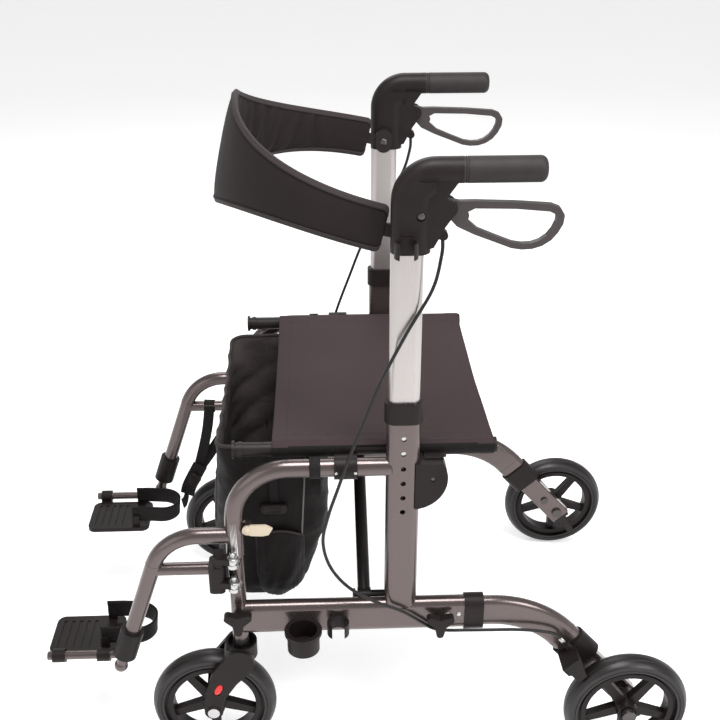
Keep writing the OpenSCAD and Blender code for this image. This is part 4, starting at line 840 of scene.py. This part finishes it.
def nearby_mean(places, values, u, v):
    """Value at each u and v from the values at places round about, where the nearest count most."""
    u, v = np.broadcast_arrays(np.asarray(u, float), np.asarray(v, float))
    away = (places[:, 0] - u.reshape(-1, 1)) ** 2 + (places[:, 1] - v.reshape(-1, 1)) ** 2
    weight = 1 / (away + 1e-6) ** 3
    mean = (weight * values).sum(axis=1) / weight.sum(axis=1)
    return mean.reshape(u.shape)


def on_bag_side(grid, side, x, z):
    """How far out the bag's side panel stands at each x and z."""
    points = grid.reshape(-1, 3)
    points = points[side * points[:, 1] > BAG_HALF * 0.85]
    return nearby_mean(points[:, (0, 2)], np.abs(points[:, 1]), x, z)


def on_bag_front(grid, y, z):
    """How far forward the bag's front panel stands at each y and z."""
    points = grid.reshape(-1, 3)
    points = points[points[:, 0] > 0.19]
    return nearby_mean(points[:, (1, 2)], points[:, 0], y, z)


def make_bag():
    grid = bag_shape()
    grid = settle_bag(grid)
    bag = sheet_object("bag_shell", grid, 0.0022, black_cloth, around=True)
    # Faces that look in towards the bag's middle get the lining, whose colour holds painted light against the
    # shade inside
    bag.data.materials.append(lining_with_painted_light)
    middle = Vector((0.148, 0, 0.45))
    for polygon in bag.data.polygons:
        if polygon.normal.dot(middle - polygon.center) > 0:
            polygon.material_index = 1
    pieces = [tube_object("rim", grid[-1] + (0, 0, 0.0005), 0.0030, binding, 8, closed=True)]
    for side in (1, -1):
        pieces += bag_side_trims(grid, side)
    pieces += bag_front_pocket(grid)
    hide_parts("bag")
    for number, piece in enumerate(pieces):
        piece.name = "bag_trim_%02d" % number
    for piece in [bag] + pieces:
        attach(piece, "left_frame")
        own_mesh(piece)
    bag_loops(grid)


def bag_side_trims(grid, side):
    """Piping, round-ended pocket and buckled strap on one side panel."""
    z = np.linspace(0.526, 0.300, 60)
    x = np.interp(z, (0.300, 0.394, 0.526), (0.1035, 0.0995, 0.0915))
    path = np.stack([x, side * (on_bag_side(grid, side, x, z) + ON_CLOTH), z], axis=1)
    pieces = [tube_object("piping", path, 0.0015, piping, 8)]
    u = np.linspace(-1, 1, 41)
    v = np.linspace(0, 1, 37)
    low, high = 0.264, 0.400
    pocket = np.zeros((len(v), len(u), 3))
    for i, share in enumerate(v):
        round_end = (1 - 0.86 * (1 - min(share / 0.24, 1)) ** 2.6) ** 0.5
        pocket[i, :, 0] = 0.1345 + u * 0.0365 * round_end
        pocket[i, :, 2] = low + (high - low) * share - 0.014 * share ** 5 * np.abs(u) ** 2.4
        fill = 0.017 * math.sin(math.pi * (0.06 + 0.84 * share)) ** 0.55 * (1 - np.abs(u) ** 3.2)
        fold = 0.0015 * np.sin(u * 9 + share * 12) * math.sin(math.pi * share)
        wall = on_bag_side(grid, side, pocket[i, :, 0], pocket[i, :, 2])
        pocket[i, :, 1] = side * (wall + ON_CLOTH + fill + fold)
    pieces.append(sheet_object("pocket", pocket, 0.0022, black_cloth))
    edge = np.concatenate([pocket[12:, 0], pocket[-1, 1:-1], pocket[:11:-1, -1]])
    pieces.append(tube_object("pocket_edge", edge, 0.0019, binding, 8))
    z = np.linspace(0.532, 0.446, 40)
    out = on_bag_side(grid, side, BUCKLE_X, z) + 0.0022 + 0.003 * np.sin((z - 0.446) / 0.086 * math.pi)
    path = np.stack([np.full(len(z), BUCKLE_X), side * out, z], axis=1)
    pieces.append(ribbon_object("strap", path, (1, 0, 0), 0.014, 0.0015, webbing))
    at_buckle = float(on_bag_side(grid, side, BUCKLE_X, BUCKLE_Z)) + 0.0070
    pieces.append(slab_object("buckle", (BUCKLE_X, side * at_buckle, BUCKLE_Z), (0, side, 0), (0, 0, 1),
                              0.040, 0.016, 0.008, moulding))
    return pieces


def bag_front_pocket(grid):
    """Flat pocket on the front panel with its zip."""
    half, low, high = 0.150, 0.315, 0.455
    along = np.linspace(-half, half, 61)
    y, z = np.meshgrid(along, np.linspace(low, high, 29))
    puff = np.cos(y / half * math.pi / 2) ** 0.5 * np.sin((z - low) / (high - low) * math.pi) ** 0.6
    x = on_bag_front(grid, y, z) + ON_CLOTH + 0.006 * puff + 0.001 * np.sin(y * 70)
    pocket = sheet_object("front_pocket", np.stack([x, y, z], axis=2), 0.002, black_cloth)
    zip_x = on_bag_front(grid, along, ZIP_Z) + 0.0018
    path = np.stack([zip_x, along, np.full(len(along), ZIP_Z)], axis=1)
    return [pocket, ribbon_object("zip", path, (0, 0, 1), 0.010, 0.0018, binding)]


def bag_loops(grid):
    """Webbing on each side: a ring round the level leg run, and a tongue from it to the bag's side panel."""
    ring_r = LEG_D / 2 + 0.0015
    turns = np.radians(np.linspace(238, 578, 44))
    ring = [(SIDE_Y + ring_r * math.cos(a), LEG_Z + ring_r * math.sin(a)) for a in turns]
    for side, sign in SIDES:
        wall = [(float(on_bag_side(grid, sign, LOOP_X, z)) + 0.0022, z) for z in (0.448, 0.470, 0.489)]
        tongue = wall + [(wall[-1][0] + 0.008, 0.502), (SIDE_Y - 0.024, LEG_Z - 0.024), ring[0]]
        for name, points in (("ring", ring), ("tongue", tongue)):
            path = smooth_path([(LOOP_X, sign * y, z) for y, z in points], 3)
            piece = ribbon_object("bag_%s_%s" % (name, side), path, (1, 0, 0), 0.016, 0.0014, webbing)
            attach(piece, side + "_frame")
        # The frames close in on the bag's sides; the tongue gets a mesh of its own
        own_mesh(piece)


make_bag()


# Brake cables, each made as an upper and a lower half

CABLE_D = 0.005
CABLE_UPPER = (
    (-0.099, 0.258, 0.8918), (-0.098, 0.260, 0.870), (-0.086, 0.270, 0.825), (-0.052, 0.278, 0.765),
    (-0.016, 0.281, 0.690), (0.010, 0.283, 0.620), (0.028, 0.284, 0.570), (0.044, 0.284, 0.520),
    (0.059, 0.282, 0.470), (0.067, 0.280, 0.424), (0.057, 0.279, 0.378),
)
CABLE_LOWER = (
    (0.057, 0.279, 0.378), (0.030, 0.278, 0.338), (-0.010, 0.278, 0.309), (-0.052, 0.278, 0.289),
    (-0.084, 0.278, 0.266), (-0.103, 0.277, 0.252), (-0.125, 0.277, 0.247), (-0.155, 0.278, 0.247),
    (-0.195, 0.279, 0.247), (-0.235, 0.279, 0.246), (-0.270, 0.279, 0.242), (-0.2992, 0.278, 0.2334),
    (-0.3158, 0.278, 0.2149),
)
CABLE_STEPS = 8


def make_cables():
    whole = smooth_path(CABLE_UPPER + CABLE_LOWER[1:], CABLE_STEPS)
    split = (len(CABLE_UPPER) - 1) * CABLE_STEPS
    for side, sign in SIDES:
        mirror = (1, sign, 1)
        for half, path in (("upper", whole[:split + 1] * mirror), ("lower", whole[split:] * mirror)):
            cable = tube_object("brake_cable_%s_%s" % (half, side), path, CABLE_D / 2, sheath)
            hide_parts("brake_cable_" + side)
            if half == "upper":
                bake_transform(cable)
            else:
                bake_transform(cable)


make_cables()


# Heel straps: webbing loops behind the footplates

def make_heel_straps():
    outer, inner = SIDE_Y - 0.0503, SIDE_Y - 0.1197
    radius = (outer - inner) / 2 - 0.0015
    middle = (outer + inner) / 2
    arc_x = PLATE_X - 0.024
    turns = np.radians(np.linspace(90, 270, 50))
    front = PLATE_X + 0.029
    path = [(x, middle + radius) for x in np.linspace(front, arc_x, 14)[:-1]]
    path += [(arc_x + radius * math.cos(a), middle + radius * math.sin(a)) for a in turns]
    path += [(x, middle - radius) for x in np.linspace(arc_x, front, 14)[1:]]
    path = np.array(path)
    droop = ease(PLATE_X + 0.01, arc_x - radius, path[:, 0])
    for side, sign in SIDES:
        centre = np.column_stack([path[:, 0], sign * path[:, 1], 0.196 - 0.004 * droop])
        lean = np.column_stack([-0.10 * droop, np.zeros(len(path)), np.ones(len(path))])
        strap = ribbon_object("heel_strap_web_" + side, centre, lean, 0.031, 0.0022, webbing)
        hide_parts("heel_strap_" + side)
        pieces = [strap]
        for end, way in ((6, 1), (len(path) - 7, -1)):
            for shift in (-0.009, 0.009):
                row = centre[max(end - 5, 0):end + 6] + (0, way * sign * 0.0014, shift)
                pieces.append(stitch_object("seam", [(row, (0, way * sign, 0))], black_thread))
        for number, piece in enumerate(pieces):
            if number:
                piece.name = "heel_strap_seam_%s_%d" % (side, number)
            attach(piece, "footplate_" + side)
            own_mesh(piece)


make_heel_straps()


# Calf strap on the right footrest: from the brace tube to a folded pad, and a tail down to the heel strap

def make_calf_strap():
    brace_r = 0.0114
    turns = np.radians(np.linspace(40, 378, 40))
    ring = [(0.284, -SIDE_Y + brace_r * math.cos(a), 0.365 + brace_r * math.sin(a)) for a in turns]
    hang = [(0.286, -0.2450, 0.349), (0.291, -0.2440, 0.318), (0.302, -0.2425, 0.272),
            (0.316, -0.2395, 0.228), (0.329, -0.2360, 0.197)]
    path = smooth_path(ring + hang, 3)
    down = 1 - ease(0.22, 0.31, path[:, 2])[:, None]
    across = (1 - down) * (1.0, 0.0, 0.05) + down * (0.75, 0.45, 0.5)
    strap = ribbon_object("calf_strap", path, across, 0.020, 0.0016, webbing)
    pad_path = smooth_path([(0.308, -0.2360, 0.244), (0.321, -0.2350, 0.220), (0.333, -0.2330, 0.196),
                            (0.338, -0.2310, 0.179)], 8)
    pad = ribbon_object("calf_strap_fold", pad_path, (0.78, 0.25, 0.57), 0.030, 0.0035, webbing)
    buckle = slab_object("calf_strap_buckle", (0.324, -0.2295, 0.212), (0.2, 1, 0.1), (0.5, 0, -0.85),
                         0.026, 0.032, 0.006, moulding)
    brace_path = smooth_path([(0.318, -0.2385, 0.226), (0.296, -0.2485, 0.252), (0.275, -0.2590, 0.280),
                              (0.250, -0.2700, 0.314), (0.233, -0.2770, 0.337), (0.223, -0.2808, 0.348)], 8)
    brace = ribbon_object("calf_strap_brace", brace_path, (0.55, -0.1, 0.8), 0.022, 0.0016, webbing)
    for piece in (strap, pad, buckle, brace):
        attach(piece, "footrest_right")
    tail_path = smooth_path([(0.337, -0.2290, 0.186), (0.3385, -0.2190, 0.180), (0.3395, -0.2020, 0.181),
                             (0.3415, -0.1850, 0.187)], 10)
    tail = ribbon_object("calf_strap_tail", tail_path, (0.15, 0.05, 1), 0.022, 0.0016, webbing)
    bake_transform(tail)


make_calf_strap()


# Small trims: reflectors, screws, spring buttons, rivets, pin caps, hinge sleeves and cable ferrules

HINGE_X = 0.203
HINGE_Y = 0.281
FERRULE_Y = 0.278
FERRULE_ROUTE = ((-0.3067, 0.2251), (-0.3110, 0.2203), (-0.3152, 0.2156))
FORK_RAKE = math.radians(24)
PIN_CAP = ((0.0, 0.0012), (0.0026, 0.0010), (0.0042, 0.0002), (0.0046, -0.0010), (0.0046, -0.0070))
SLEEVE = ((0.0, 0.0053), (0.0078, 0.0053), (0.0089, 0.0045), (0.0089, -0.0045), (0.0078, -0.0053))


def make_trims():
    for side, sign in SIDES:
        side_frame = side + "_frame"
        reflector = dome_object("fork_reflector_" + side, (0.2384, sign * (SIDE_Y + 0.0278), 0.145),
                                (0, sign, 0), 0.0056, 0.0024, red_lens, stretch=2.0,
                                up=(-math.sin(FORK_RAKE), 0, math.cos(FORK_RAKE)))
        attach(reflector, "caster_" + side)
        # Each head: name, x, distance out from the side frame, z, facing out or in, radius, body, material
        heads = [
            ("support_screw_" + side, -0.096, 0.0122, 0.525, 1, 0.0038, side_frame, dark_steel),
            ("housing_bolt_" + side, -0.068, 0.0137, 0.929, 1, 0.0060, "handle_" + side, dark_steel),
            ("backrest_screw_" + side, -0.050, -0.0298, 0.893, -1, 0.0060, "back_" + side, dark_steel),
            ("latch_rivet_" + side, 0.180, 0.0128, 0.440, 1, 0.0044, side_frame, latch_plastic),
        ]
        for x in (-0.127, -0.144):
            name = "tube_button_%s_%d" % (side, -1000 * x)
            heads.append((name, x, 0.0135, 0.2735, 1, 0.0036, side_frame, steel))
        for x in (0.018, 0.046):
            name = "saddle_rivet_%s_%d" % (side, 1000 * x)
            heads.append((name, x, 0.0178, 0.541, 1, 0.0024, side_frame, steel))
        for name, x, out, z, way, radius, body, material in heads:
            head = dome_object(name, (x, sign * (SIDE_Y + out), z), (0, way * sign, 0), radius, radius * 0.34,
                               material)
            attach(head, body)
        for kind, profile, heights, body in (
                ("pin_cap", PIN_CAP, (0.364, 0.408), side_frame),
                ("hinge_sleeve", SLEEVE, (0.3513, 0.3953), "footrest_" + side)):
            for z in heights:
                piece = turned_object("%s_%s_%d" % (kind, side, 1000 * z), (HINGE_X, sign * HINGE_Y, z),
                                      (0, 0, 1), profile, steel, up=(1, 0, 0))
                attach(piece, body)
        route = [(x, sign * FERRULE_Y, z) for x, z in FERRULE_ROUTE]
        ferrule = tube_object("cable_ferrule_" + side, route, 0.0036, steel)
        attach(ferrule, "rear_leg_" + side)


make_trims()
